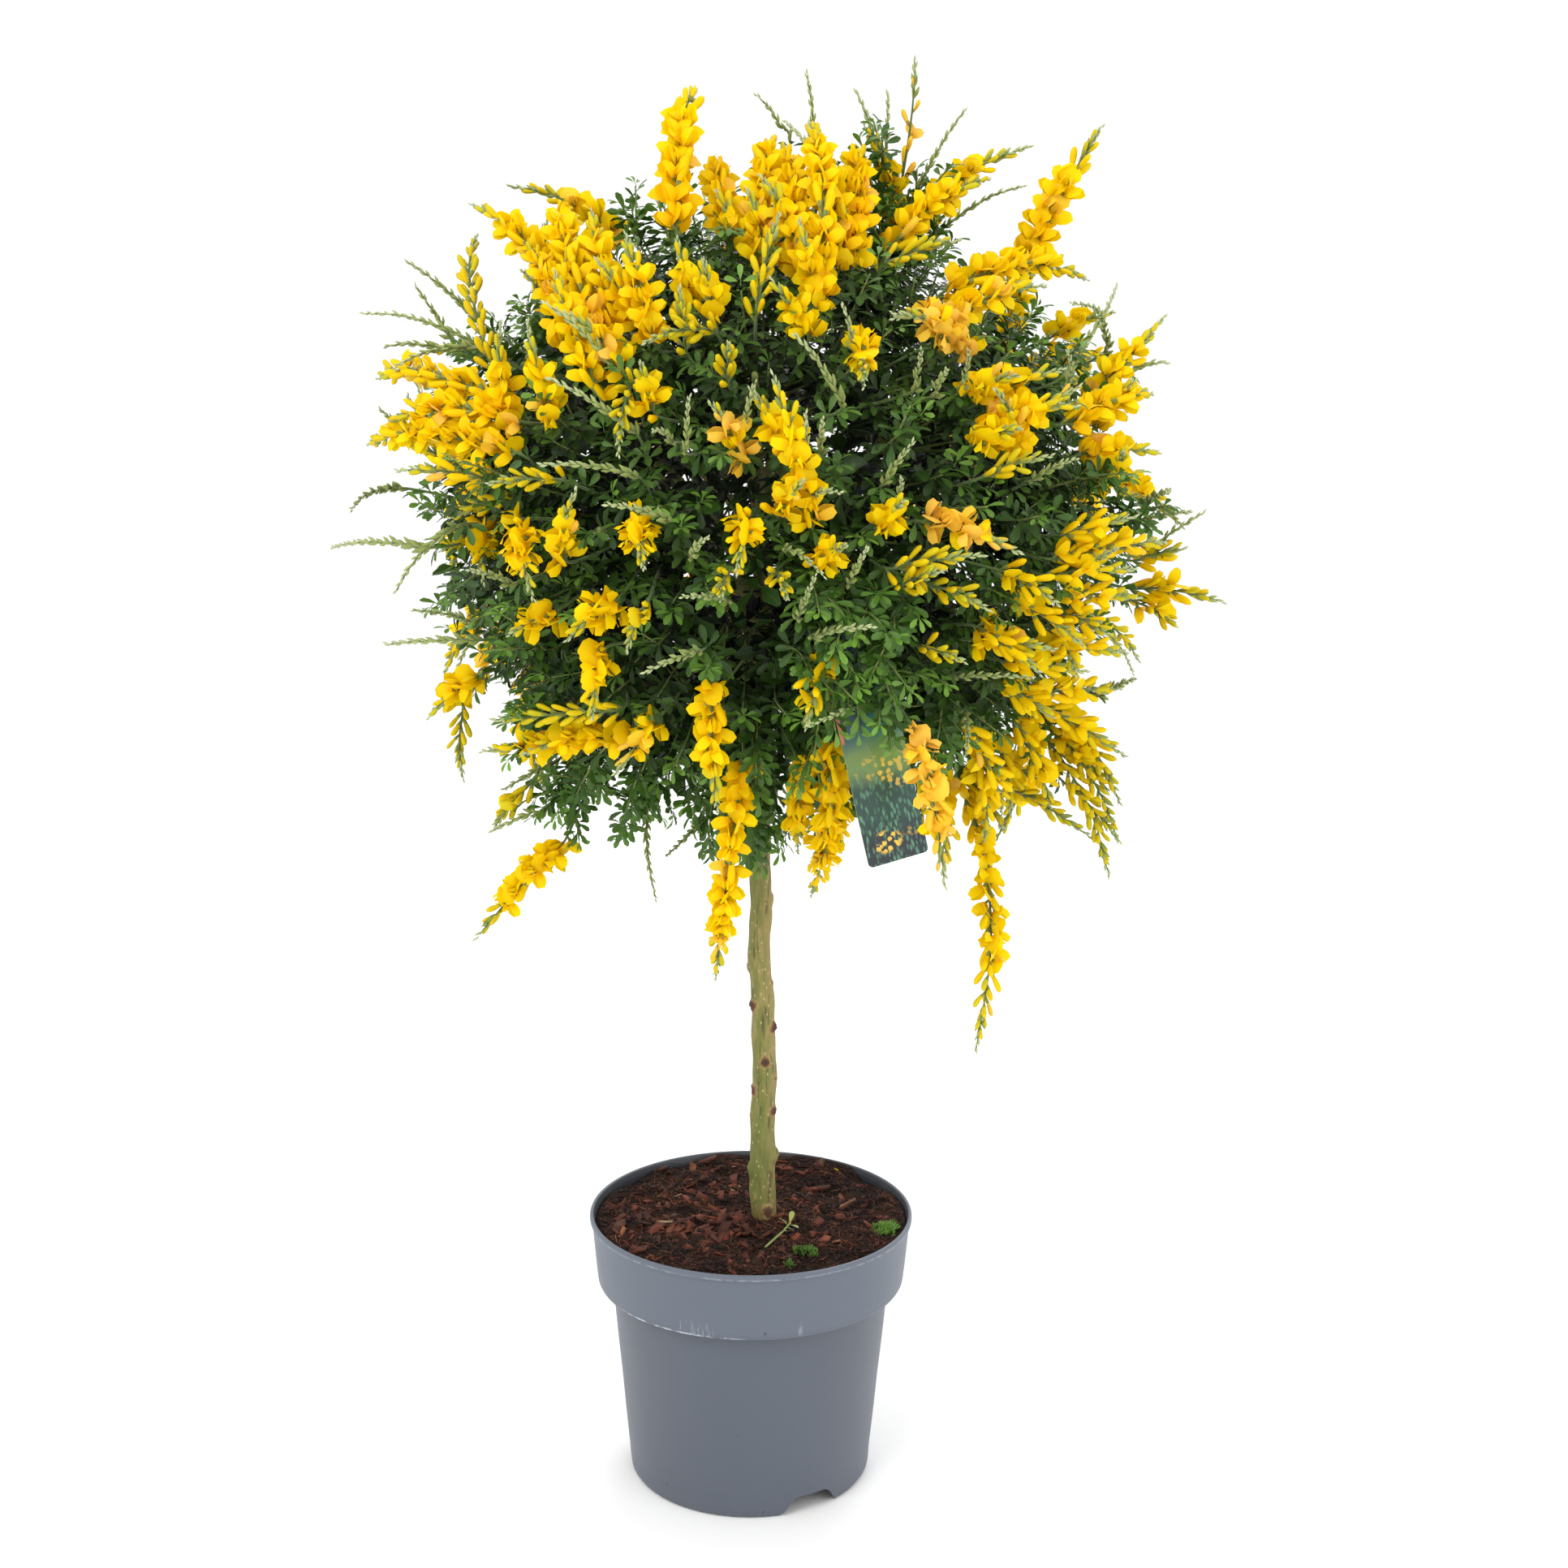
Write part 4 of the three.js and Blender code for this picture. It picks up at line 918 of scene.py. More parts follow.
def makePot():
    s = potSettings
    pot = placePiece("pot_shell", latheMesh("pot_shell", s["outside"] + s["inside"], s["sides"]),
                     makePotMaterial(), ["pot"])
    for azimuth in s["notches"]:
        cutPot(pot, *([(x, -depth, z) for x, z in s["notch"]] for depth in s["notchDepth"]), azimuth)
    for azimuth in s["drains"]:
        hole = [(s["drainRing"] + x, y) for x, y in arc(s["drainRadius"], 20)]
        cutPot(pot, *([(x, y, z) for x, y in hole] for z in (0, s["drainTop"])), azimuth)
    seen = pot.evaluated_get(bpy.context.evaluated_depsgraph_get())
    mesh = bpy.data.meshes.new_from_object(seen)
    cutters = [cut.object for cut in pot.modifiers]
    pot.modifiers.clear()
    pot.data = mesh
    for cutter in cutters:
        bpy.data.objects.remove(cutter)
    mesh.shade_smooth()
    mesh.set_sharp_from_angle(angle=math.radians(s["creaseAngle"]))
    points = np.zeros(len(mesh.vertices) * 3)
    mesh.vertices.foreach_get("co", points)
    x, y, z = points.reshape(-1, 3).T / mm
    outer = np.interp(z, [row[1] for row in s["outside"]], [row[0] for row in s["outside"]])
    # which points lie inside the wall, where the material paints shade
    inside = mesh.attributes.new("inside", "FLOAT", "POINT")
    inside.data.foreach_set("value", (np.hypot(x, y) < outer - s["wall"]).astype(np.float32))


makePot()
report("pot made")


# Stem, leader and limbs

stemSettings = {
    "lowZ": 188, "headZ": 560, "leaderTopZ": 738, "buriedZ": 182,
    "lowRadius": 9.8, "headRadius": 6.8, "leaderTopRadius": 4.4,
    "limbLength": 42, "limbRadius": 3.8, "attachZ": 646, "attachRise": 70, "stagger": 9,
    "sides": 40, "rings": 190,
    "knotStretch": 1.2, "knotRise": 0.9, "knotPit": 0.7, "thinOver": 400, "formLength": 600,
    # height, times round the stem, and turn with the height
    "ridges": [(0.28, 3, 0.021), (0.2, 5, -0.037), (0.3, 2, 0.21)],
    "swelling": (0.45, 0.083, 0.012),    # slow and one-sided: height, along the stem and turn
    "sway": [(0.8, 23, 0), (0.4, 9.7, 1)],
    "limbTaper": (1.25, 1, 0.8), "limbSag": 1.5,
    # height, degrees from the front, size, and how brown
    "knots": [
        (204, 14, 4.4, 0.95), (214, -40, 3.0, 0.3), (233, -80, 4.6, 0.15), (245, 70, 5.0, 0.1),
        (278, -70, 2.4, 0.5), (281, 56, 4.2, 0.9), (297, -56, 4.0, 0.9), (306, 60, 2.6, 0.6),
        (320, 4, 4.0, 1.0), (337, -60, 2.6, 0.5), (345, 62, 4.6, 1.0), (362, -54, 4.6, 1.0),
        (378, 66, 2.2, 0.6),
        (389, -96, 3.0, 0.6), (401, 10, 3.0, 0.3), (441, 90, 3.4, 0.3), (300, 172, 4.0, 0.9),
        (352, 205, 4.2, 0.9), (262, 150, 3.4, 0.5), (418, 160, 3.2, 0.5), (470, -60, 2.8, 0.3),
        (455, 215, 3.0, 0.4),
    ],
}


def stemCentre(z):
    s = stemSettings
    share = (z - s["lowZ"]) / (s["headZ"] - s["lowZ"])
    bow = 2.3 * min(max((430 - z) / 130, 0), 1) ** 0.8    # the foot stands a little to the right
    return np.array([7.4 - 3.6 * share + 4.5 * max(share - 1, 0) + bow, 0.0, z])


def stemRadius(z):
    s = stemSettings
    heights = [s["lowZ"], s["headZ"], s["leaderTopZ"]]
    return float(np.interp(z, heights, [s["lowRadius"], s["headRadius"], s["leaderTopRadius"]]))


def planBoughs():
    s = stemSettings
    random = makeRandom(seeds["boughs"])
    boughs = []
    for elevation, first, count in crown["rings"]:
        for i in range(count):
            way = direction(first + i * 360 / count, elevation + (random() - 0.5) * 6)
            core = crownPoint(way, crown["coreReach"])
            root = stemCentre(s["attachZ"] + s["attachRise"] * way[2] + (i % 3) * s["stagger"])
            boughs.append({
                "way": way, "core": core, "plug": crownPoint(way, crown["forkReach"]),
                "root": root, "limbEnd": root + unit(core - root) * s["limbLength"], "racemes": 0,
            })
    return boughs


boughs = planBoughs()
boughWays = np.array([b["way"] for b in boughs])


def nearestBough(way):
    return int(np.argmax(boughWays @ way))


def makeTrunk():
    s = stemSettings
    sides = s["sides"]
    heights = np.linspace(s["buriedZ"], s["leaderTopZ"], s["rings"])
    z = np.repeat(heights, sides)
    angle = np.tile(turns(sides), len(heights))
    radius = np.array([stemRadius(h) for h in heights]).repeat(sides)
    for high, folds, twist in s["ridges"]:
        radius += high * np.sin(angle * folds + z * twist)
    high, along, twist = s["swelling"]
    radius += high * np.sin(z * along) * np.sin(angle + z * twist)
    brown = np.zeros(len(z))
    for height, around, size, dark in s["knots"]:
        a = math.radians(around) - math.pi / 2
        side = np.abs((angle - a + math.pi) % fullTurn - math.pi) * radius
        wobble = 1 + 0.16 * np.sin(3 * np.arctan2(z - height, side) + height)
        wobble += 0.1 * np.sin(side * 2 + z * 1.3)
        far = np.hypot(side, (z - height) / s["knotStretch"]) / size * wobble
        bulge = np.clip(1 - far**2, 0, 1) ** 1.5
        pit = np.clip(1 - (far * 2.0) ** 2, 0, 1)
        radius += bulge * size * s["knotRise"] - pit * size * s["knotPit"]
        brown = np.maximum(brown, np.clip(1.25 - far, 0, 1) * dark)
    centres = np.array([stemCentre(h) for h in heights])
    centres[:, 0] += sum(out * np.sin(heights / wave + start) for out, wave, start in s["sway"])
    verts = centres.repeat(sides, axis=0) + columns(np.cos(angle) * radius, np.sin(angle) * radius, 0)
    thin = np.clip((z - s["headZ"]) / s["thinOver"], 0, 0.4)
    form = columns(np.cos(angle), (z - s["buriedZ"]) / s["formLength"], 0)
    pile = newPile()
    addRings(pile, verts, form, columns(0.5, brown, thin), sides)
    for bough in boughs:
        middle = (bough["root"] + bough["limbEnd"]) / 2 - upright * s["limbSag"]
        path = smoothPath([bough["root"], middle, bough["limbEnd"]], 6)
        addTube(pile, path, [s["limbRadius"] * taper for taper in s["limbTaper"]], 8, (0.4, 0.1, 0.35))
    pilePiece("trunk", pile, barkMaterial, ["stem"])


makeTrunk()
report("stem made")


# Label: its place first, because leaves and flowers keep clear of it

labelSettings = {
    "eye": (58, -206, 676),
    "drop": 2.1,
    "turn": 14,              # degrees to the right of the front
    "tilt": 13.6,            # degrees from upright
    "width": 40, "length": 130, "thickness": 1.0, "corner": 3,
    "strapLength": 22, "strapWidth": 7, "eyeRadius": 8, "holeRadius": 4.4,
    "slice": 8, "bow": 1.1,
    # to the middle of what grows beside the label, and how much room that needs
    "clearance": {"bud": (4, 5), "leaf": (9, 8), "flower": (9, 9), "oldLeaf": (14, 14)},
    "night": rgb(38, 62, 82),
    "teal": rgb(34, 104, 92),
    "meadow": rgb(104, 132, 66),
    "leaf": rgb(28, 62, 54),
    "shade": rgb(22, 30, 38),
    "bloom": rgb(220, 180, 62),
    "sprig": rgb(92, 148, 112),
    "trim": rgb(196, 112, 66),
    "reverse": rgb(226, 226, 220),
    # centre, size and strength of each clump of blossom, as shares of the card
    "clumps": [((0.38, 0.105), (0.26, 0.06), 1.0), ((0.78, 0.44), (0.36, 0.09), 0.7),
               ((0.4, 0.48), (0.34, 0.06), 0.45), ((0.84, 0.13), (0.2, 0.03), 0.35)],
}


def labelMatrix():
    s = labelSettings
    x, y, z = s["eye"]
    turn = Matrix.Rotation(math.radians(s["turn"]), 4, "Z")
    stand = Matrix.Rotation(math.pi / 2, 4, "X")
    tilt = Matrix.Rotation(math.radians(s["tilt"]), 4, "Z")
    return Matrix.Translation((x, y, z - s["drop"])) @ turn @ stand @ tilt


labelPlace = labelMatrix()
labelBack = np.array(labelPlace.inverted())


def besideLabel(at, forward, kind, size=1.0):
    # whether each leaf or flower keeps clear of the card and its strap
    s = labelSettings
    length, margin = s["clearance"][kind]
    local = (at + forward * length * size) @ labelBack[:3, :3].T + labelBack[:3, 3]
    low = -(s["eyeRadius"] + s["strapLength"] + s["length"])
    inside = (np.abs(local[:, 0]) < s["width"] / 2 + margin) & (local[:, 1] > low - margin)
    inside &= (local[:, 1] < s["eyeRadius"] + margin) & (np.abs(local[:, 2]) < margin)
    return ~inside


# Flowers, buds and leaves

def standardPetal(u, v):
    # broad rounded petal that stands up behind the others, its sides folded back
    width = 8.1 * np.sin(np.pi * np.clip(0.07 + 0.84 * v, 0, 1) ** 0.8) ** 0.62
    notch = 1.3 * (1 - np.abs(u)) ** 2 * v**4
    z = 0.8 + 12.2 * v - notch - 1.0 * u**2 * v
    y = 4.0 + 4.2 * np.sin(v * 1.7) - 1.8 * np.abs(u) ** 1.6 * np.sin(np.pi * v * 0.8)
    return u * width, y, z


def wingPetal(side):
    def place(u, v):
        high = 3.4 * np.sin(np.pi * np.clip(0.12 + 0.76 * v, 0, 1)) ** 0.7
        x = side * (1.0 + 2.4 * np.sin(np.pi * v * 0.85) - 1.1 * u * v)
        return x, 3.0 + 11.0 * v, 0.5 + u * high - 1.0 * v**2
    return place


def keelPetal(u, v):
    belly = np.sin(np.pi * np.clip(0.08 + 0.86 * v, 0, 1)) ** 0.6
    return u * 1.5 * belly, 3.0 + 10.8 * v, -0.9 - 2.6 * (1 - u**2) * belly + 1.1 * v**2


def leafletForm(length, width, angle=0.0, part=0, steps=3):
    # narrow at its stalk and widest near its rounded end
    widest = 0.62

    def place(u, v):
        t = 1 - (1 - v) ** 1.5
        narrow = 0.12 + 0.88 * np.clip(t / widest, 0, 1) ** 1.2
        rounded = np.sqrt(np.clip(1 - ((t - widest) / 0.4) ** 2, 0.04, 1))
        half = width / 2 * np.where(t < widest, narrow, rounded)
        return u * half, 2.6 + length * t, 0.34 * np.abs(u) * half - 2.0 * t**2

    form = sheetForm(2, steps, place, part)
    c, s = math.cos(angle), math.sin(angle)
    form["verts"] = form["verts"] @ np.array([[c, -s, 0], [s, c, 0], [0, 0, 1]]).T
    return form


def leafForm(length, width, splay, droop, steps=3):
    side = math.radians(splay)
    petiole = spindleForm(3, [(-3.5, 0.5, 0.5), (2.8, 0.45, 0.45)])
    leaflets = [leafletForm(length, width, 0.0, 0, steps)]
    for part, angle in ((1, side), (2, -side)):
        leaflets.append(leafletForm(length * 0.9, width * 0.94, angle, part, steps))
    form = joinForms([petiole] + leaflets)
    form["verts"][:, 2] -= droop * (form["verts"][:, 1] / length) ** 2
    return form


forms = {
    "open": joinForms([
        sheetForm(4, 3, standardPetal, 0), sheetForm(2, 3, wingPetal(-1), 1),
        sheetForm(2, 3, wingPetal(1), 1), sheetForm(2, 2, keelPetal, 2),
    ]),
    "finger": spindleForm(
        5, [(3.2, 1.0, 1.2), (7.5, 1.7, 2.2), (12.0, 2.2, 2.8), (15.8, 2.1, 2.5), (18.2, 0.9, 1.1)], 2, 1.4),
    "calyx": spindleForm(4, [(-0.6, 0.6, 0.6), (3.0, 1.3, 1.4), (6.2, 1.9, 2.1)], 0, 0.3),
    "bud": spindleForm(4, [(0, 0.6, 0.6), (3.4, 1.3, 1.4), (6.8, 0.3, 0.35)], 0, 0.7),
    "leaves": [leafForm(12.2, 6.0, 64, 1.0), leafForm(11.2, 5.6, 54, 1.8), leafForm(13.0, 6.2, 72, 0.4),
               leafForm(10.8, 5.3, 46, 0.0)],
    "oldLeaf": leafForm(12.0, 6.0, 70, 0.6, 2),
    "mossBlade": spindleForm(3, [(0, 0.45, 0.3), (1.4, 0.55, 0.3), (2.8, 0.1, 0.1)], 0, 0.5),
}

flowerSettings = {
    "spacing": 3.8,          # along the stalk from one flower to the next
    "budSpacing": 2.5,
    "leafSpacing": 8.5,
    "tipLength": 28,         # buds pressed to the stalk beyond them
    "openLean": (44, 66),    # degrees between flower and stalk
    "closedLean": (22, 38),
    "budLean": (12, 22),
    "size": (0.94, 1.14),
    "braidLean": (26, 14, 4),          # degrees at its first bud, less towards the tip, and either way
    "braidSize": (1.2, 0.62), "braidChange": (0.85, 1.12),
    "stalkLeafLean": (44, 70), "stalkLeafSize": (0.8, 1.05),
    "leafGap": (5.0, 6.6), "tipGap": 2.5, "leafSize": (0.86, 1.14),
    "leafLean": (24, 42),              # degrees at the tip, and more further down
    "stalk": (1.1, 1.1, 0.8, 0.4),
    "budStalk": (1.0, 0.9, 0.4),
    # reach at which painted shade starts to darken leaves, over how much, least and most
    "depth": {"stalk": (232, 62, 0, 0.85), "shoot": (243, 52, 0, 0.95), "inner": (232, 90, 0.25, 0.95)},
    # share of closed flowers, how ripe the oldest are, spacing, size, peach share, and how far
    # down the raceme its flowers are still closed
    "kinds": {
        "bloom": (0.16, 1.0, 1.0, 1.0, 0.05, 0.16),
        "tall": (0.1, 1.0, 1.06, 1.16, 0.05, 0.2),
        "mixed": (0.72, 0.9, 0.94, 0.98, 0.03, 0.2),
        "peach": (0.1, 1.0, 1.1, 0.96, 0.75, 0.1),
        "young": (0.97, 0.2, 0.85, 0.8, 0.0, 0.2),
        "spent": (0.9, 1.0, 2.4, 0.75, 0.5, 0.2),
    },
}

greens, blooms, foliage, budPiles = ([newPile() for _ in boughs] for _ in range(4))
twigPile = newPile()


def organAxes(along, side, across, turn, lean, reference):
    # forward axis leans from the stalk, and its up side faces the reference
    away = side * np.cos(turn)[:, None] + across * np.sin(turn)[:, None]
    forward = unit(along * np.cos(lean)[:, None] + away * np.sin(lean)[:, None])
    up = unit(reference - forward * np.sum(reference * forward, 1, keepdims=True))
    return np.stack([np.cross(forward, up), forward, up], 1), away


def pathSamples(path, distances):
    run = pathRun(path)
    along, side, across = pathFrames(path)
    return (resample(distances, run, path),
            *(unit(resample(distances, run, ways)) for ways in (along, side, across)))


def goldenTurns(count, dice):
    return np.arange(count) * goldenTurn + dice.uniform(0, 6)


def paintedCrownShade(at, kind):
    # how deep inside the head a leaf sits, which darkens it with painted shade
    outer, fade, low, high = flowerSettings["depth"][kind]
    return np.clip((outer - crownReach(at)) / fade, low, high)


def growBuds(pile, path, start, size, dice):
    # a braid of small buds, pressed to the stalk and paler towards its tip
    s = flowerSettings
    distances = np.arange(start, pathLength(path) - 0.5, s["budSpacing"])
    count = len(distances)
    at, along, side, across = pathSamples(path, distances)
    share = np.arange(count) / max(count - 1, 1)
    first, less, loose = s["braidLean"]
    lean = np.radians(first - less * share + dice.uniform(-loose, loose, count))
    axes, away = organAxes(along, side, across, goldenTurns(count, dice), lean, along * 0.3 + upright)
    tone = columns(dice.random(count), 0.5 + 0.5 * share * dice.uniform(0.8, 1, count), 0)
    free = besideLabel(at, axes[:, 1], "bud")
    largest, smaller = s["braidSize"]
    scale = size * (largest - smaller * share) * dice.uniform(*s["braidChange"], count)
    stamp(pile, forms["bud"], (at + away * 0.3)[free], axes[free], scale[free], tone[free])


def growStalkLeaves(index, path, start, end, dice):
    s = flowerSettings
    spots = np.arange(start, end, s["leafSpacing"])
    count = len(spots)
    if count:
        at, along, side, across = pathSamples(path, spots)
        turn = goldenTurns(count, dice)
        lean = np.radians(dice.uniform(*s["stalkLeafLean"], count))
        axes = organAxes(along, side, across, turn, lean, along * 0.5 + upright)[0]
        tone = columns(dice.random(count), dice.random(count) * 0.35, paintedCrownShade(at, "stalk"))
        free = besideLabel(at, axes[:, 1], "leaf")
        sizes = dice.uniform(*s["stalkLeafSize"], free.sum())
        stamp(foliage[index], forms["leaves"][1], at[free], axes[free], sizes, tone[free])


def growRaceme(index, path, bare, dice, kind):
    # flowers from the end of the bare stalk to the buds at the tip, the oldest lowest
    s = flowerSettings
    closedShare, ripest, spacing, size, peachShare, closedEnd = s["kinds"][kind]
    length = pathLength(path)
    tipLength = min(s["tipLength"] * dice.uniform(0.8, 1.2), (length - bare) * 0.4)
    addStalk(greens[index], path, s["stalk"], (0.4, 0.0, 0.0))
    distances = np.arange(bare, length - tipLength * 0.6, s["spacing"] * spacing)
    count = len(distances)
    distances = distances + dice.uniform(-0.9, 0.9, count)
    at, along, side, across = pathSamples(path, distances)
    # 1 at the oldest flower, under 0 in bud
    ripe = (length - tipLength - distances) / max(length - bare - tipLength, 1)
    turn = goldenTurns(count, dice) + dice.uniform(-0.35, 0.35, count)
    closed = (dice.random(count) < closedShare) | (ripe < closedEnd)
    lean = np.where(closed, dice.uniform(*s["closedLean"], count), dice.uniform(*s["openLean"], count))
    lean = np.radians(np.where(ripe < 0.06, dice.uniform(*s["budLean"], count), lean))
    outward = unit(at - crown["centre"])
    axes, away = organAxes(along, side, across, turn, lean, along * 0.7 + upright * 0.5 + outward * 0.3)
    base = at + away * 0.6
    scale = size * dice.uniform(*s["size"], count) * (0.56 + 0.44 * np.clip(0.1 + ripe * 2.8, 0, 1))
    young = np.clip(1 - ripe * 3.2, 0, 1)
    age = np.clip((0.2 + 0.5 * ripe + dice.uniform(-0.12, 0.2, count)) * ripest - 0.2 * young, 0.01, 1)
    peach = np.where(dice.random(count) < peachShare, dice.uniform(0.4, 1, count), 0.0)
    shade = dice.random(count)
    free = besideLabel(base, axes[:, 1], "flower")
    draws = columns(shade, age, peach)
    for form, pick in (("open", free & ~closed), ("finger", free & closed)):
        stamp(blooms[index], forms[form], base[pick], axes[pick], scale[pick], draws[pick])
    green = columns(shade, 0.3 + 0.12 * young, 0.35 if kind == "spent" else 0.0)
    stamp(greens[index], forms["calyx"], base[free], axes[free], scale[free] * 0.96, green[free])
    growBuds(greens[index], path, length - tipLength, 0.98, dice)
    growStalkLeaves(index, path, 6, bare, dice)


def growBudShoot(index, path, bare, dice):
    addStalk(budPiles[index], path, flowerSettings["budStalk"], (0.4, 0.05, 0.0))
    growBuds(budPiles[index], path, bare, dice.uniform(0.88, 1.12), dice)
    growStalkLeaves(index, path, 8, bare, dice)


crownSettings = {
    "racemeReach": (238, 282), "youngReach": (238, 280), "budReach": (244, 292), "leafyReach": (226, 270),
    "racemeRoot": 196, "budRoot": 200, "leafyRoot": 190,    # how far out their stalks leave the boughs
    "backRacemes": 84,       # evenly spread, of which those on the sides and back are kept
    "backBuds": 88,
    "backReach": (280, 304), "backHang": 70,
    "backBudReach": (288, 314), "backBudHang": 20,
    "backKinds": ("bloom", "mixed", "bloom", "young", "mixed"),
    "arch": 0.045,           # how high a raceme or shoot bends, as a share of its length
    "shoots": 640, "shootScatter": 0.045,
    "forkShare": (0.35, 0.6), "elbowReach": (120, 60), "bendReach": (0.55, 90), "tipLift": (-6, 10),
    "leavesPerShoot": 11, "leafyGap": 5.4, "sideTwigGap": 5.2, "lowShoots": 10,
    "shootReach": (226, 262),
    # azimuth, elevation, how wide in degrees, and how far the leaves stand out or draw back there
    "relief": [(-90, 2, 20, -24), (-86, -16, 16, -20), (-92, -38, 26, -16), (60, 80, 26, 26),
               (-30, -78, 16, 14), (20, -80, 16, 12), (-32, -52, 12, -18)],
    "innerLeaves": 1850,
    "innerReach": (88, 214),
    "innerSize": (1.35, 1.9),
    "twig": (1.3, 1.0, 0.7), "sideTwig": (0.9, 0.6), "branch": (3.1, 2.9, 2.6, 2.0),
}


def evenWays(count, offset=0.5):
    k = np.arange(count)
    z = 1 - 2 * (k + offset) / count
    turn = k * goldenTurn
    flat = np.sqrt(1 - z**2)
    return np.stack([np.sin(turn) * flat, -np.cos(turn) * flat, z], 1)


def backRows(count, offset, reach, hang, dice):
    # rows like the measured ones, spread over the sides and back
    rows = []
    for way in evenWays(count, offset):
        if way[1] > 0.22 and way[2] > -0.84:
            tip = unit(way + dice.normal(0, 0.05, 3))
            rise = 0.25 if tip[2] < 0.2 else -0.1
            base = unit(turned(boughs[nearestBough(tip)]["way"], tip, 0.45) + upright * rise)
            tipReach = dice.uniform(*reach) + max(0.0, -float(way[2]) - 0.2) * hang
            rows.append((base, 238.0, tip, tipReach))
    return rows


def rowWays(rows, usual):
    # rows of four values stand at the usual reaches
    ways = []
    for a, e, tipA, tipE, *reaches in rows:
        reach, tipReach = reaches or usual
        ways.append((direction(a, e), reach, direction(tipA, tipE), tipReach))
    return ways


def startShoot(row, inner):
    # from inside the head out to where the flowers or buds begin, then on to the tip
    base, reach, tip, tipReach = row
    index = nearestBough(unit(base * 0.4 + tip))
    root = crownPoint(turned(boughs[index]["way"], base, 0.75), inner)
    start, end = crownPoint(base, reach), crownPoint(tip, tipReach)
    lift = crownSettings["arch"] * float(np.linalg.norm(end - start))
    knots = [root, start]
    for share in (0.3, 0.65):
        bulge = math.sin(math.pi * share)
        point = crownPoint(turned(base, tip, share), reach + (tipReach - reach) * share + lift * bulge)
        knots.append(point + upright * lift * bulge)
    bare = pathLength(smoothPath(knots[:3])) - float(np.linalg.norm(knots[2] - start))
    return index, smoothPath(knots + [end]), max(bare, 4.0)


def growRacemes():
    s = crownSettings
    dice = np.random.default_rng(seeds["racemes"])
    measured = {"bloom": bloomRows, "tall": tallRows, "mixed": mixedRows, "peach": peachRows,
                "young": youngRows, "spent": spentRows}
    plans = [(kind, way) for kind, rows in measured.items()
             for way in rowWays(rows, s["youngReach"] if kind == "young" else s["racemeReach"])]
    for azimuth, elevation, reach in backTips:
        tip = direction(azimuth, elevation)
        rise = 0.2 if elevation < 10 else -0.05
        base = unit(turned(boughs[nearestBough(tip)]["way"], tip, 0.35) + upright * rise)
        kind = "young" if -105 < azimuth < -95 and elevation < 40 else "bloom"
        plans.append((kind, (base, 232.0, tip, reach + 8)))
    fill = backRows(s["backRacemes"], 0.5, s["backReach"], s["backHang"], dice)
    plans += [(s["backKinds"][k % 5], row) for k, row in enumerate(fill)]
    for kind, row in plans:
        index, path, bare = startShoot(row, s["racemeRoot"])
        growRaceme(index, path, bare, dice, kind)
        boughs[index]["racemes"] += 1
    shoots = rowWays(budRows, s["budReach"])
    shoots += backRows(s["backBuds"], 0.9, s["backBudReach"], s["backBudHang"], dice)
    for row in shoots:
        index, path, bare = startShoot(row, s["budRoot"])
        growBudShoot(index, path, bare, dice)
    report("%d racemes and %d bud shoots grown, %s to a bough" % (
        len(plans), len(shoots), [b["racemes"] for b in boughs]))


def leafyShoot(index, path, count, dice, cover=1.0):
    s, length = flowerSettings, pathLength(path)
    spots = length - s["tipGap"] - np.arange(count)[::-1] * dice.uniform(*s["leafGap"])
    spots = spots[spots > 3]
    count = len(spots)
    at, along, side, across = pathSamples(path, spots)
    turn = goldenTurns(count, dice)
    near = np.clip((length - spots) / 30, 0, 1)    # 0 at the tip of the shoot
    lean = np.radians(s["leafLean"][0] + s["leafLean"][1] * near + dice.uniform(-10, 12, count))
    axes = organAxes(along, side, across, turn, lean, along * 0.6 + upright * 0.7)[0]
    youth = np.clip((1 - near * 1.6) * dice.uniform(0.1, 1, count), 0, 1) + 0.08 * dice.random(count)
    size = dice.uniform(*s["leafSize"], count) * (0.72 + 0.28 * near) * cover
    tone = columns(dice.random(count), youth, paintedCrownShade(at, "shoot"))
    free = besideLabel(at, axes[:, 1], "flower", size[:, None])
    kind = dice.integers(0, 4, count)
    for k, form in enumerate(forms["leaves"]):
        pick = free & (kind == k)
        stamp(foliage[index], form, at[pick], axes[pick], size[pick], tone[pick])


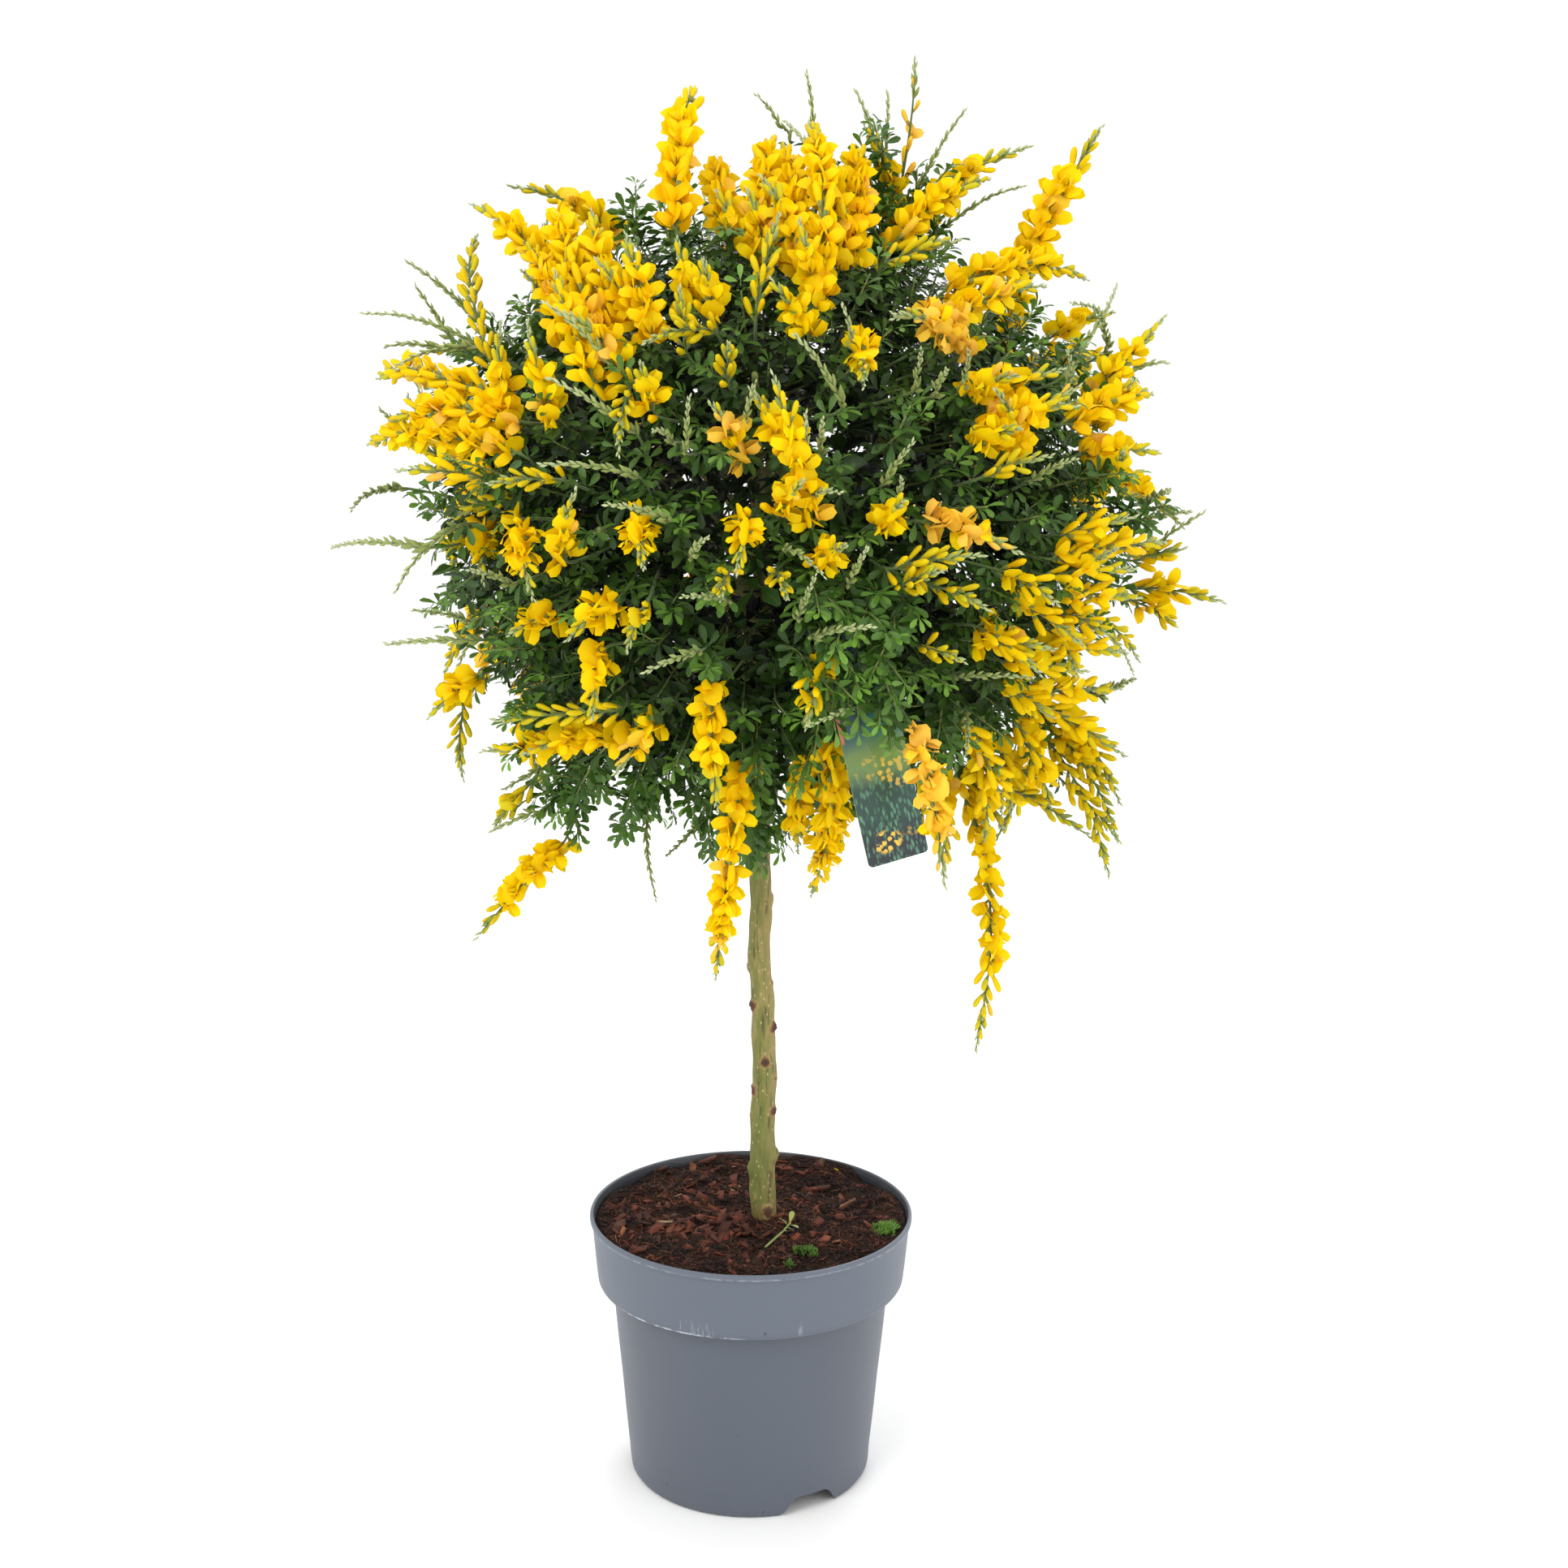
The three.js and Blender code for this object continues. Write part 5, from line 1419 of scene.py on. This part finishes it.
def growFoliage():
    s = crownSettings
    dice = np.random.default_rng(seeds["foliage"])
    ways = unit(evenWays(s["shoots"]) + dice.normal(0, s["shootScatter"], (s["shoots"], 3)))
    owners = np.argmax(ways @ boughWays.T, 1)
    low, high = s["shootReach"]
    relief = np.zeros(len(ways))
    for azimuth, elevation, wide, amount in s["relief"]:
        away = np.degrees(np.arccos(np.clip(ways @ direction(azimuth, elevation), -1, 1)))
        relief += amount * np.exp(-(away / wide) ** 2)
    for way, owner, out in zip(ways, owners, relief):
        bough = boughs[owner]
        reach = low + (high - low) * dice.random() + s["lowShoots"] * max(0.0, -way[2]) + out
        share = s["forkShare"][0] + s["forkShare"][1] * dice.random()
        root = bough["limbEnd"] * (1 - share) + bough["plug"] * share
        toward = turned(bough["way"], way, 0.75)
        elbow = crownPoint(toward, s["elbowReach"][0] + s["elbowReach"][1] * share)
        tip = crownPoint(way, reach) + upright * dice.uniform(*s["tipLift"])
        bend = crownPoint(turned(toward, way, 0.6), s["bendReach"][0] * reach + s["bendReach"][1])
        path = smoothPath([root, elbow, bend, tip], 4.0)
        addTube(twigPile, path[::6], s["twig"], 3, (dice.random(), 0.0, 0.35 + 0.5 * dice.random()))
        leafyShoot(owner, path, s["leavesPerShoot"] - int(dice.random() * 3), dice)
    for row in rowWays(leafyRows + coverRows, s["leafyReach"]):
        index, path = startShoot(row, s["leafyRoot"])[:2]
        addTube(twigPile, path[::3], s["twig"], 3, (dice.random(), 0.0, 0.6))
        leafyShoot(index, path, int(pathLength(path) / s["leafyGap"]), dice)
        for _ in range(3):    # side twigs
            start = path[int(len(path) * dice.uniform(0.35, 0.75))]
            end = start + (path[-1] - start) * dice.uniform(0.5, 0.8) + dice.normal(0, 13, 3)
            twig = smoothPath([start, (start + end) / 2 + upright * 2, end])
            addTube(twigPile, twig[::3], s["sideTwig"], 3, (dice.random(), 0.0, 0.7))
            leafyShoot(index, twig, int(pathLength(twig) / s["sideTwigGap"]), dice, 0.92)


def growInnerLeaves():
    # older leaves that fill the heart of the crown, darkened with painted shade
    s = crownSettings
    dice = np.random.default_rng(seeds["innerLeaves"])
    count = s["innerLeaves"]
    ways = unit(dice.normal(0, 1, (count, 3)))
    low, high = s["innerReach"]
    reach = (low**3 + (high**3 - low**3) * dice.random(count)) ** (1 / 3)
    forward = unit(ways + dice.normal(0, 0.7, (count, 3)))
    sky = unit(ways * 0.5 + upright + dice.normal(0, 0.3, (count, 3)))
    up = unit(np.cross(np.cross(forward, sky), forward))
    axes = np.stack([np.cross(forward, up), forward, up], 1)
    at = crownPoint(ways, reach[:, None])
    tone = columns(dice.random(count), 0, paintedCrownShade(at, "inner"))
    size = dice.uniform(*s["innerSize"], count)
    free = besideLabel(at, forward, "oldLeaf")
    owners = np.argmax(ways @ boughWays.T, 1)
    for owner in range(len(boughs)):
        pick = free & (owners == owner)
        stamp(foliage[owner], forms["oldLeaf"], at[pick], axes[pick], size[pick], tone[pick])


def growBoughs():
    for bough in boughs:
        path = smoothPath([bough["limbEnd"], bough["core"], bough["plug"]], 6)
        addTube(twigPile, path, crownSettings["branch"], 8, (0.5, 0.0, 0.45))


growRacemes()
growFoliage()
growInnerLeaves()
growBoughs()
for i in range(len(boughs)):
    number = "%02d" % (i + 1)
    pilePiece("blossoms_" + number, blooms[i], petalMaterial, ["racemes_" + number])
    pilePiece("stalks_" + number, greens[i], greenMaterial, ["racemes_" + number])
    pilePiece("foliage_" + number, foliage[i], leafMaterial, ["bough_" + number])
    if budPiles[i]["size"]:
        pilePiece("buds_" + number, budPiles[i], greenMaterial, ["bough_" + number])
pilePiece("twigs", twigPile, barkMaterial)
report("crown grown, %d triangles in the parts" % triangles["all"])


# Label

def makeLabelMaterial():
    look = labelSettings
    newMaterial("printed_card")
    place = attribute("card")
    across, along, face = axesOf(place)
    # a dusk sky over a meadow: dark at the foot, then leaves, a glow of blossom and a teal sky
    level = plus(along, minus(noise(place, 5.0, 4.0), 0.5), 0.12)
    scene = ramp(level, [
        (0.0, look["shade"]), (0.12, look["shade"]), (0.24, look["leaf"]), (0.38, look["leaf"]),
        (0.48, look["meadow"]), (0.56, look["meadow"]), (0.66, look["teal"]), (1.0, look["teal"])])
    night = minus(times(minus(along, 0.45), 1.96), across)
    night = times(spread(night, (-0.04, 0.14), (0.0, 0.9)),
                  spread(along, (0.56, 0.7), (0.0, 1.0)))
    layers = [(night, look["night"])]
    # crossing leaflets in the lower half, darker gaps between them
    for turn, seed in ((0.6, 0.0), (-0.7, 5.0)):
        blades = stretched(place, (7.0, 22.0, 1.0), location=(seed, seed, 0))
        cell = cells(stretched(blades, (2.4, 0.9, 1.0), rotation=(0, 0, turn)), 1.0)
        lower = times(spread(cell["Distance"], (0.24, 0.42), (0.75, 0.0)),
                      spread(level, (0.52, 0.38), (0.0, 1.0)))
        tint = addNode("ShaderNodeSeparateColor", {"Color": cell["Color"]}).outputs[0]
        layers.append((times(lower, tint), look["sprig"]))
    # blossom in four loose clumps
    spots = stretched(place, (11.0, 36.0, 1.0))
    ragged = plus(cells(spots, 1.0)["Distance"], noise(spots, 2.0, 2.0), 0.5)
    disc = spread(ragged, (0.62, 0.78), (1.0, 0.0))
    for centre, size, share in look["clumps"]:
        aside, above = (mathNode("DIVIDE", minus(value, middle), half)
                        for value, middle, half in zip((across, along), centre, size))
        far = plus(times(aside, aside), times(above, above))
        layers.append((times(spread(far, (0.6, 1.1), (share, 0.0)), disc), look["bloom"]))
    trim = times(spread(across, (0.06, 0.05), (0.0, 1.0)),
                 spread(along, (0.62, 0.64), (0.0, 1.0)))
    layers.append((trim, look["trim"]))
    colour = mixColour(face, look["reverse"], paint(scene, layers))
    rough = spread(noise(place, 14.0, 2.0), (0.0, 1.0), (0.22, 0.36))
    return finish(skin(colour, rough, {"Coat Weight": 0.3, "Coat Roughness": 0.15}))


def roundCorner(cx, cy, radius, fromAngle):
    start = math.radians(fromAngle)
    return [(cx + x, cy + y) for x, y in arc(radius, 5, start, start + math.pi / 2, True)]


def makeLabel():
    s = labelSettings
    half, strap, eye, r = s["width"] / 2, s["strapWidth"] / 2, s["eyeRadius"], s["corner"]
    top = -eye - s["strapLength"]
    low = top - s["length"]
    edge = math.atan2(-eye * 0.9, strap)
    neck = [(strap + 2, top), (strap + 0.5, top + 0.7), (strap, top + 2.4)]
    outline = roundCorner(-half + r, low + r, r, 180) + roundCorner(half - r, low + r, r, 270)
    outline += roundCorner(half - r, top - r, r, 0) + neck
    outline += arc(eye, 34, edge, math.pi - edge, True)
    outline += [(-x, y) for x, y in neck[::-1]] + roundCorner(-half + r, top - r, r, 90)
    sheet = bmesh.new()
    rims = []
    for points in (outline, arc(s["holeRadius"], 28)):
        verts = [sheet.verts.new((x, y, 0)) for x, y in points]
        rims += [sheet.edges.new((a, b)) for a, b in zip(verts, verts[1:] + verts[:1])]
    bmesh.ops.triangle_fill(sheet, edges=rims, use_beauty=True, use_dissolve=False)
    # slices along the card so that it can bow a little
    for at in np.arange(low + s["slice"], top, s["slice"]):
        bmesh.ops.bisect_plane(sheet, geom=sheet.verts[:] + sheet.edges[:] + sheet.faces[:],
                               plane_co=(0, at, 0), plane_no=(0, 1, 0))
    bmesh.ops.recalc_face_normals(sheet, faces=sheet.faces)
    if sum(f.normal.z for f in sheet.faces) < 0:
        bmesh.ops.reverse_faces(sheet, faces=sheet.faces[:])
    lifted = bmesh.ops.extrude_face_region(sheet, geom=sheet.faces[:], use_keep_orig=True)["geom"]
    for vert in sheet.verts:
        vert.co.z = s["thickness"] / 2
    for vert in (v for v in lifted if isinstance(v, bmesh.types.BMVert)):
        vert.co.z = -s["thickness"] / 2
    bmesh.ops.recalc_face_normals(sheet, faces=sheet.faces)
    card = sheet.verts.layers.float_vector.new("card")
    for vert in sheet.verts:
        x, y, z = vert.co
        vert[card] = ((x + half) / (2 * half), (y - low) / (top - low), 1.0 if z > 0 else 0.0)
        curve = math.sin(math.pi * min(max((top - y) / s["length"], 0), 1))
        vert.co.z += s["bow"] * curve * (0.5 - 0.6 * (x / half) ** 2)
    sheet.transform(Matrix.Scale(mm, 4) @ labelPlace)
    placePiece("hang_label", sheetMesh("hang_label", sheet), makeLabelMaterial(), ["label"])


makeLabel()
report("label made")


# Soil and what lies on it

soilSettings = {
    "level": 196.4,
    "edge": 115.3,           # meets the pot's inner wall
    "lump": 3.8,
    "sectors": 192, "rings": 58,
    "foot": [(114.0, 178), (111.6, 158), (110.2, 156), (101.4, 154), (99.4, 146), (97.2, 130), (87.8, 12),
             (0.5, 12)],
    "waves": [(34, 1.3), (15, 1.5), (6, 1.25), (2.7, 0.6)],    # length and height
    "dark": rgb(26, 17, 14),
    "brown": rgb(76, 48, 36),
    "red": rgb(104, 60, 44),
    "chip": [(0.0, rgb(84, 48, 36)), (0.35, rgb(124, 62, 42)), (0.75, rgb(150, 80, 54)),
             (1.0, rgb(176, 116, 76))],
    "straw": [rgb(150, 112, 78), rgb(206, 184, 150)],
    # batches of one shape, pieces in each, and how far from the middle they reach
    "bark": (12, 16, 107), "cluster": (10, 8, 106), "crumbs": (8, 375, 113), "pale": (5, 9, 104),
    # least and greatest length, width and thickness of the pieces
    "barkChip": [(7, 15), (3, 7), (0.9, 2.2)],
    "clusterChip": [(8, 15), (5, 8), (1.0, 2.4)],
    "crumbChip": [(1.6, 3.4), (1.4, 2.6), (1.2, 2.2)],
    "fibres": 1500, "fibreEdge": 110, "lastEdge": 113, "mossEdge": 111,
    "clusterSpread": [(-34, 27), (-24, 17)],    # middle and width in x, then in y
    # degrees from the back towards the right, and the soil's height against the wall there
    "wall": [(-180, 194), (-90, 195), (-69, 197), (-53, 193), (-42, 198), (-27, 195), (-20, 199.5),
             (-13, 202), (-4, 199.5), (12, 199.5), (17, 202), (29, 202.5), (41, 202), (48, 194),
             (59, 194.5), (71, 198), (90, 197), (180, 194)],
    # x, y, length, width, turn in degrees, rise, shade and kind of the larger flakes
    "flakes": [
        (-22, -10, 13, 8, 20, 0.5, 0.35, 0.5), (-36, -27, 14, 7, 70, 0.2, 0.5, 0.5),
        (-8, -14, 10, 8, 10, 0.6, 0.6, 0.5), (-3, -34, 13, 8, 130, 0.3, 0.3, 0.5),
        (12, -40, 15, 7, 120, 0.5, 0.65, 0.5), (-79, -66, 16, 8, 100, 0.2, 0.75, 0.5),
        (-94, -40, 11, 4, 30, 0.8, 0.9, 0.5), (54, -47, 10, 8, 50, 0.6, 0.6, 0.55),
        (62, -54, 9, 6, 150, 0.5, 0.9, 0.55), (48, 50, 26, 6, 100, 0.15, 0.55, 0.5),
        (-72, 86, 14, 7, 120, 0.5, 0.8, 0.5), (-47, 78, 16, 6, 10, 1.4, 0.95, 0.5),
        (-38, 102, 20, 8, 100, 0.3, 0.4, 0.5), (73, 22, 20, 3, 60, 0.2, 0.95, 0.6),
        (-66, -14, 18, 2.5, 112, 0.1, 0.9, 0.85), (-61, -2, 13, 5, 80, 0.1, 0.2, 0.8),
        (54, 92, 10, 5, 20, 1.0, 0.3, 0.7), (66, -8, 14, 6, 160, 0.3, 0.5, 0.5),
        (-56, -30, 15, 9, 60, 0.3, 0.45, 0.5), (-100, -22, 15, 11, 85, 0.4, 0.15, 0.6),
        (-70, -28, 16, 9, 40, 0.3, 0.3, 0.5), (-48, -8, 15, 9, 110, 0.4, 0.4, 0.5),
        (-20, -32, 17, 9, 30, 0.7, 0.25, 0.5), (20, -6, 12, 6, 100, 0.3, 0.2, 0.5),
    ],
    "moss": [(100, -24, 9, 190, 1.0), (43, -71, 5, 44, 0.45), (34, -68, 3, 14, 0.4), (28, -86, 3, 16, 0.45)],
    "seedling": [(11, -57, 196), (17, -55, 201), (24, -53, 207), (29.5, -51, 213)],
    # how far up it, turn, size and lean of the seedling's leaves
    "seedLeaves": [(0.98, 0.4, 1.0, 35), (0.95, 3.4, 0.9, 60), (0.86, 1.9, 1.15, 75), (0.84, 5.0, 0.8, 70),
                   (0.7, 2.7, 0.7, 65)],
    "petal": (66, 82, 198.5),
}


def soilHeight(x, y):
    s = soilSettings
    value = s["level"]
    for size, high in s["waves"]:
        folds = np.sin(x / size + 1.3 * np.sin(y / size * 1.1 + size)) * np.cos(y / size * 0.93 + size * 2)
        value += high * (folds + 0.6 * np.sin((x + y) / size * 0.71 + size * 3)) * s["lump"] / 3.4
    wall = np.interp(np.degrees(np.arctan2(x, y)), [a for a, z in s["wall"]], [z for a, z in s["wall"]])
    return value + (wall - value) * np.clip((np.hypot(x, y) - 84) / 30, 0, 1) ** 1.6


# large soft patches of painted shade, for the hollows in loose soil
def patchyShade(place, share):
    return spread(noise(place, 48.0, 3.0), (0.44, 0.58), (0.0, share))


def makeSoilMaterial():
    look = soilSettings
    newMaterial("peat")
    place = objectPlace()
    coarse, fine = noise(place, 160.0, 6.0, 0.7), noise(place, 700.0, 4.0, 0.7)
    earth = ramp(coarse, [(0.36, look["dark"]), (0.56, look["brown"]), (0.76, look["red"])])
    colour = paint(earth, [
        (times(fine, 0.6), look["dark"]),
        # patches of painted shade
        (patchyShade(place, 0.75), look["dark"]),
    ])
    relief = bump(plus(coarse, fine, 0.5), 1.0, 0.004)
    return finish(skin(colour, 0.95, {"Normal": relief, "Specular IOR Level": 0.2}))


def makeLitterMaterial():
    # draw: shade, and kind from peat crumb (0) through bark (0.5) to pale straw (1)
    look = soilSettings
    newMaterial("bark_litter")
    shade, kind = splitAttribute("draw")[:2]
    place = objectPlace()
    fibre = noise(place, 420.0, 4.0, 0.7)
    colour = paint(mixColour(shade, look["dark"], look["brown"]), [
        (spread(kind, (0.0, 0.5), (0.0, 1.0)), ramp(shade, look["chip"])),
        (spread(kind, (0.5, 1.0), (0.0, 1.0)), mixColour(shade, *look["straw"])),
        (times(fibre, 0.5), look["dark"]),
        # the same patches of painted shade over the litter
        (patchyShade(place, 0.6), look["dark"]),
    ])
    relief = bump(fibre, 0.8, 0.0012)
    return finish(skin(colour, 0.85, {"Normal": relief, "Specular IOR Level": 0.3}))


def makeSoil():
    s = soilSettings
    turn = turns(s["sectors"])
    rings = []
    for radius in np.linspace(0.5, s["edge"], s["rings"]):
        x, y = radius * np.cos(turn), radius * np.sin(turn)
        rings.append(columns(x, y, soilHeight(x, y)))
    rings += [columns(np.cos(turn) * radius, np.sin(turn) * radius, height) for radius, height in s["foot"]]
    pile, verts = newPile(), np.vstack(rings)
    addRings(pile, verts, np.zeros_like(verts), np.zeros_like(verts), s["sectors"], inward=True)
    pilePiece("soil_bed", pile, makeSoilMaterial(), ["soil"])


def scatter(dice, count, edge, nearStem=13):
    radius = np.sqrt(dice.random(count)) * edge
    turn = dice.uniform(0, fullTurn, count)
    x, y = radius * np.cos(turn), radius * np.sin(turn)
    free = np.hypot(x - 7, y) > nearStem
    x, y = x[free], y[free]
    return columns(x, y, soilHeight(x, y))


def tumbledAxes(dice, count, steepness):
    up = unit(columns(dice.normal(0, steepness, count), dice.normal(0, steepness, count), 1))
    turn = dice.uniform(0, fullTurn, count)
    side = unit(np.cross(columns(np.cos(turn), np.sin(turn), 0), up))
    return np.stack([side, np.cross(up, side), up], 1)


def chipForm(dice, long, wide, thick):
    # a broken flake: eight corners pushed about
    corners = np.array([[sx, sy, sz] for sz in (-1, 1) for sy in (-1, 1) for sx in (-1, 1)], float)
    corners = corners * [wide / 2, long / 2, thick / 2] * dice.uniform(0.5, 1.15, (8, 3))
    corners[:, 2] += 0.06 * corners[:, 1]
    quads = np.array([[0, 2, 3, 1], [4, 5, 7, 6], [0, 1, 5, 4], [2, 6, 7, 3], [0, 4, 6, 2], [1, 3, 7, 5]])
    return {"verts": corners, "form": np.zeros((8, 3)), "loops": quads.ravel(), "counts": np.full(6, 4)}


def flakeAxes(turn, rise):
    forward = unit(np.array([math.sin(math.radians(turn)), math.cos(math.radians(turn)), rise]))
    side = unit(np.cross(forward, upright))
    return np.stack([side, forward, np.cross(side, forward)])[None]


def makeLitter():
    s = soilSettings
    dice = np.random.default_rng(seeds["litter"])
    pile = newPile()

    def chip(*sides):
        return chipForm(dice, *[dice.uniform(*side) for side in sides])

    def lay(form, at, lift, tone, steepness, sizes):
        axes = tumbledAxes(dice, len(at), steepness)
        stamp(pile, form, at + upright * lift, axes, dice.uniform(*sizes, len(at)), tone)

    batches, count, edge = s["bark"]
    for _ in range(batches):
        form = chip(*s["barkChip"])
        at = scatter(dice, count, edge)
        size = dice.uniform(0.45, 1.1, len(at))
        tone = columns(dice.random(len(at)) * 0.7, 0.42, 0)
        stamp(pile, form, at + upright * 0.5, tumbledAxes(dice, len(at), 0.42), size, tone)
    # red flakes lie thickest to the left of the stem and in front of it
    batches, count, edge = s["cluster"]
    for _ in range(batches):
        form = chip(*s["clusterChip"])
        x, y = (dice.normal(middle, wide, count) for middle, wide in s["clusterSpread"])
        free = (np.hypot(x - 9, y) > 15) & (np.hypot(x, y) < edge)
        at = columns(x[free], y[free], soilHeight(x[free], y[free]))
        lay(form, at, 0.8, columns(dice.uniform(0.1, 0.75, len(at)), 0.5, 0), 0.5, (0.5, 1.05))
    for x, y, long, wide, turn, rise, shade, kind in s["flakes"]:
        form = chipForm(dice, long, wide, dice.uniform(1.2, 2.4))
        at = [(x, y, soilHeight(x, y) + 1.2)]
        stamp(pile, form, at, flakeAxes(turn, rise), [1.0], [(shade, kind, 0.0)])
    batches, count, edge = s["crumbs"]
    for _ in range(batches):
        form = chip(*s["crumbChip"])
        at = scatter(dice, count, edge, 11)
        tone = columns(dice.random(len(at)), dice.choice([0, 0, 0, 0.18], len(at)), 0)
        lay(form, at, 0.35, tone, 0.9, (0.5, 1.3))
    batches, count, edge = s["pale"]
    for _ in range(batches):
        form = chipForm(dice, dice.uniform(4, 8), dice.uniform(0.9, 2.0), 0.7)
        at = scatter(dice, count, edge)
        tone = columns(dice.random(len(at)), dice.uniform(0.7, 0.95, len(at)), 0)
        lay(form, at, 1.1, tone, 0.25, (0.5, 1.0))
    for start in scatter(dice, s["fibres"], s["fibreEdge"], 11):
        turn, length = dice.uniform(0, fullTurn), dice.uniform(3, 13)
        way = np.array([math.cos(turn), math.sin(turn), dice.uniform(-0.05, 0.4)])
        bend = np.cross(way, upright) * dice.normal(0, 0.25) * length
        middle = start + way * length * 0.5 + bend + upright * dice.uniform(0.2, 2.0)
        path = np.array([start, middle, start + way * length])
        path[:, 2] = np.maximum(path[:, 2], soilHeight(path[:, 0], path[:, 1]) + 0.2)
        if np.hypot(path[-1][0], path[-1][1]) <= s["lastEdge"]:
            kind = dice.choice([0.12, 0.3, 0.42, 0.62], p=[0.4, 0.3, 0.2, 0.1])
            addTube(pile, path, [0.36, 0.3, 0.14], 3, (dice.random(), kind, 0.0))
    pilePiece("bark_litter", pile, makeLitterMaterial(), smooth=False)


def makeSmallGreens():
    s = soilSettings
    dice = np.random.default_rng(seeds["greens"])
    pile = newPile()
    for x, y, wide, count, bright in s["moss"]:
        spot = np.array([x, y]) + dice.normal(0, wide / 2, (count, 2))
        spot = spot[np.hypot(*spot.T) < s["mossEdge"]]
        cushion = 2.4 * np.exp(-((spot - [x, y]) ** 2).sum(1) / (wide * 0.6) ** 2)
        place = columns(*spot.T, soilHeight(*spot.T) + cushion)
        count = len(place)
        for _ in range(3):
            forward = unit(columns(dice.normal(0, 0.6, count), dice.normal(0, 0.6, count), 1))
            side = unit(np.cross(forward, [1.0, 0.3, 0.2]))
            axes = np.stack([side, forward, np.cross(side, forward)], 1)
            tone = columns(dice.random(count), dice.uniform(0.4, 1, count) * bright, 0)
            stamp(pile, forms["mossBlade"], place, axes, dice.uniform(0.9, 1.8, count), tone)
    pilePiece("moss", pile, leafMaterial)
    # a pale seedling that leans to the right, its leaves paired at the top
    pile = newPile()
    path = smoothPath(s["seedling"], 1.2)
    addTube(pile, path, [0.85, 0.75, 0.6], 6, (0.2, 0.55, 0.0))
    frames = pathFrames(path)
    leaflet = leafletForm(9.0, 4.6)
    for share, turn, size, lean in s["seedLeaves"]:
        k = int(share * (len(path) - 1))
        axes = organAxes(*(ways[k:k + 1] for ways in frames), np.array([turn]), np.radians([lean]),
                         upright[None] + 0.2)[0]
        stamp(pile, leaflet, path[k:k + 1] - axes[:, 1] * 1.5, axes, [size], [(0.1, 0.6, 0.0)])
    pilePiece("seedling", pile, greenMaterial)
    fallen = newPile()
    axes = tumbledAxes(dice, 1, 0.4)[:, [0, 2, 1]] * [[[1], [1], [-1]]]
    stamp(fallen, sheetForm(4, 4, standardPetal), [s["petal"]], axes, [0.36], [(0.5, 0.7, 0.5)])
    pilePiece("fallen_petal", fallen, petalMaterial)


makeSoil()
makeLitter()
makeSmallGreens()
report("soil made; %(all)d triangles in all, %(largest)d in the largest" % triangles)

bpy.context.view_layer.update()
report("sizes written")
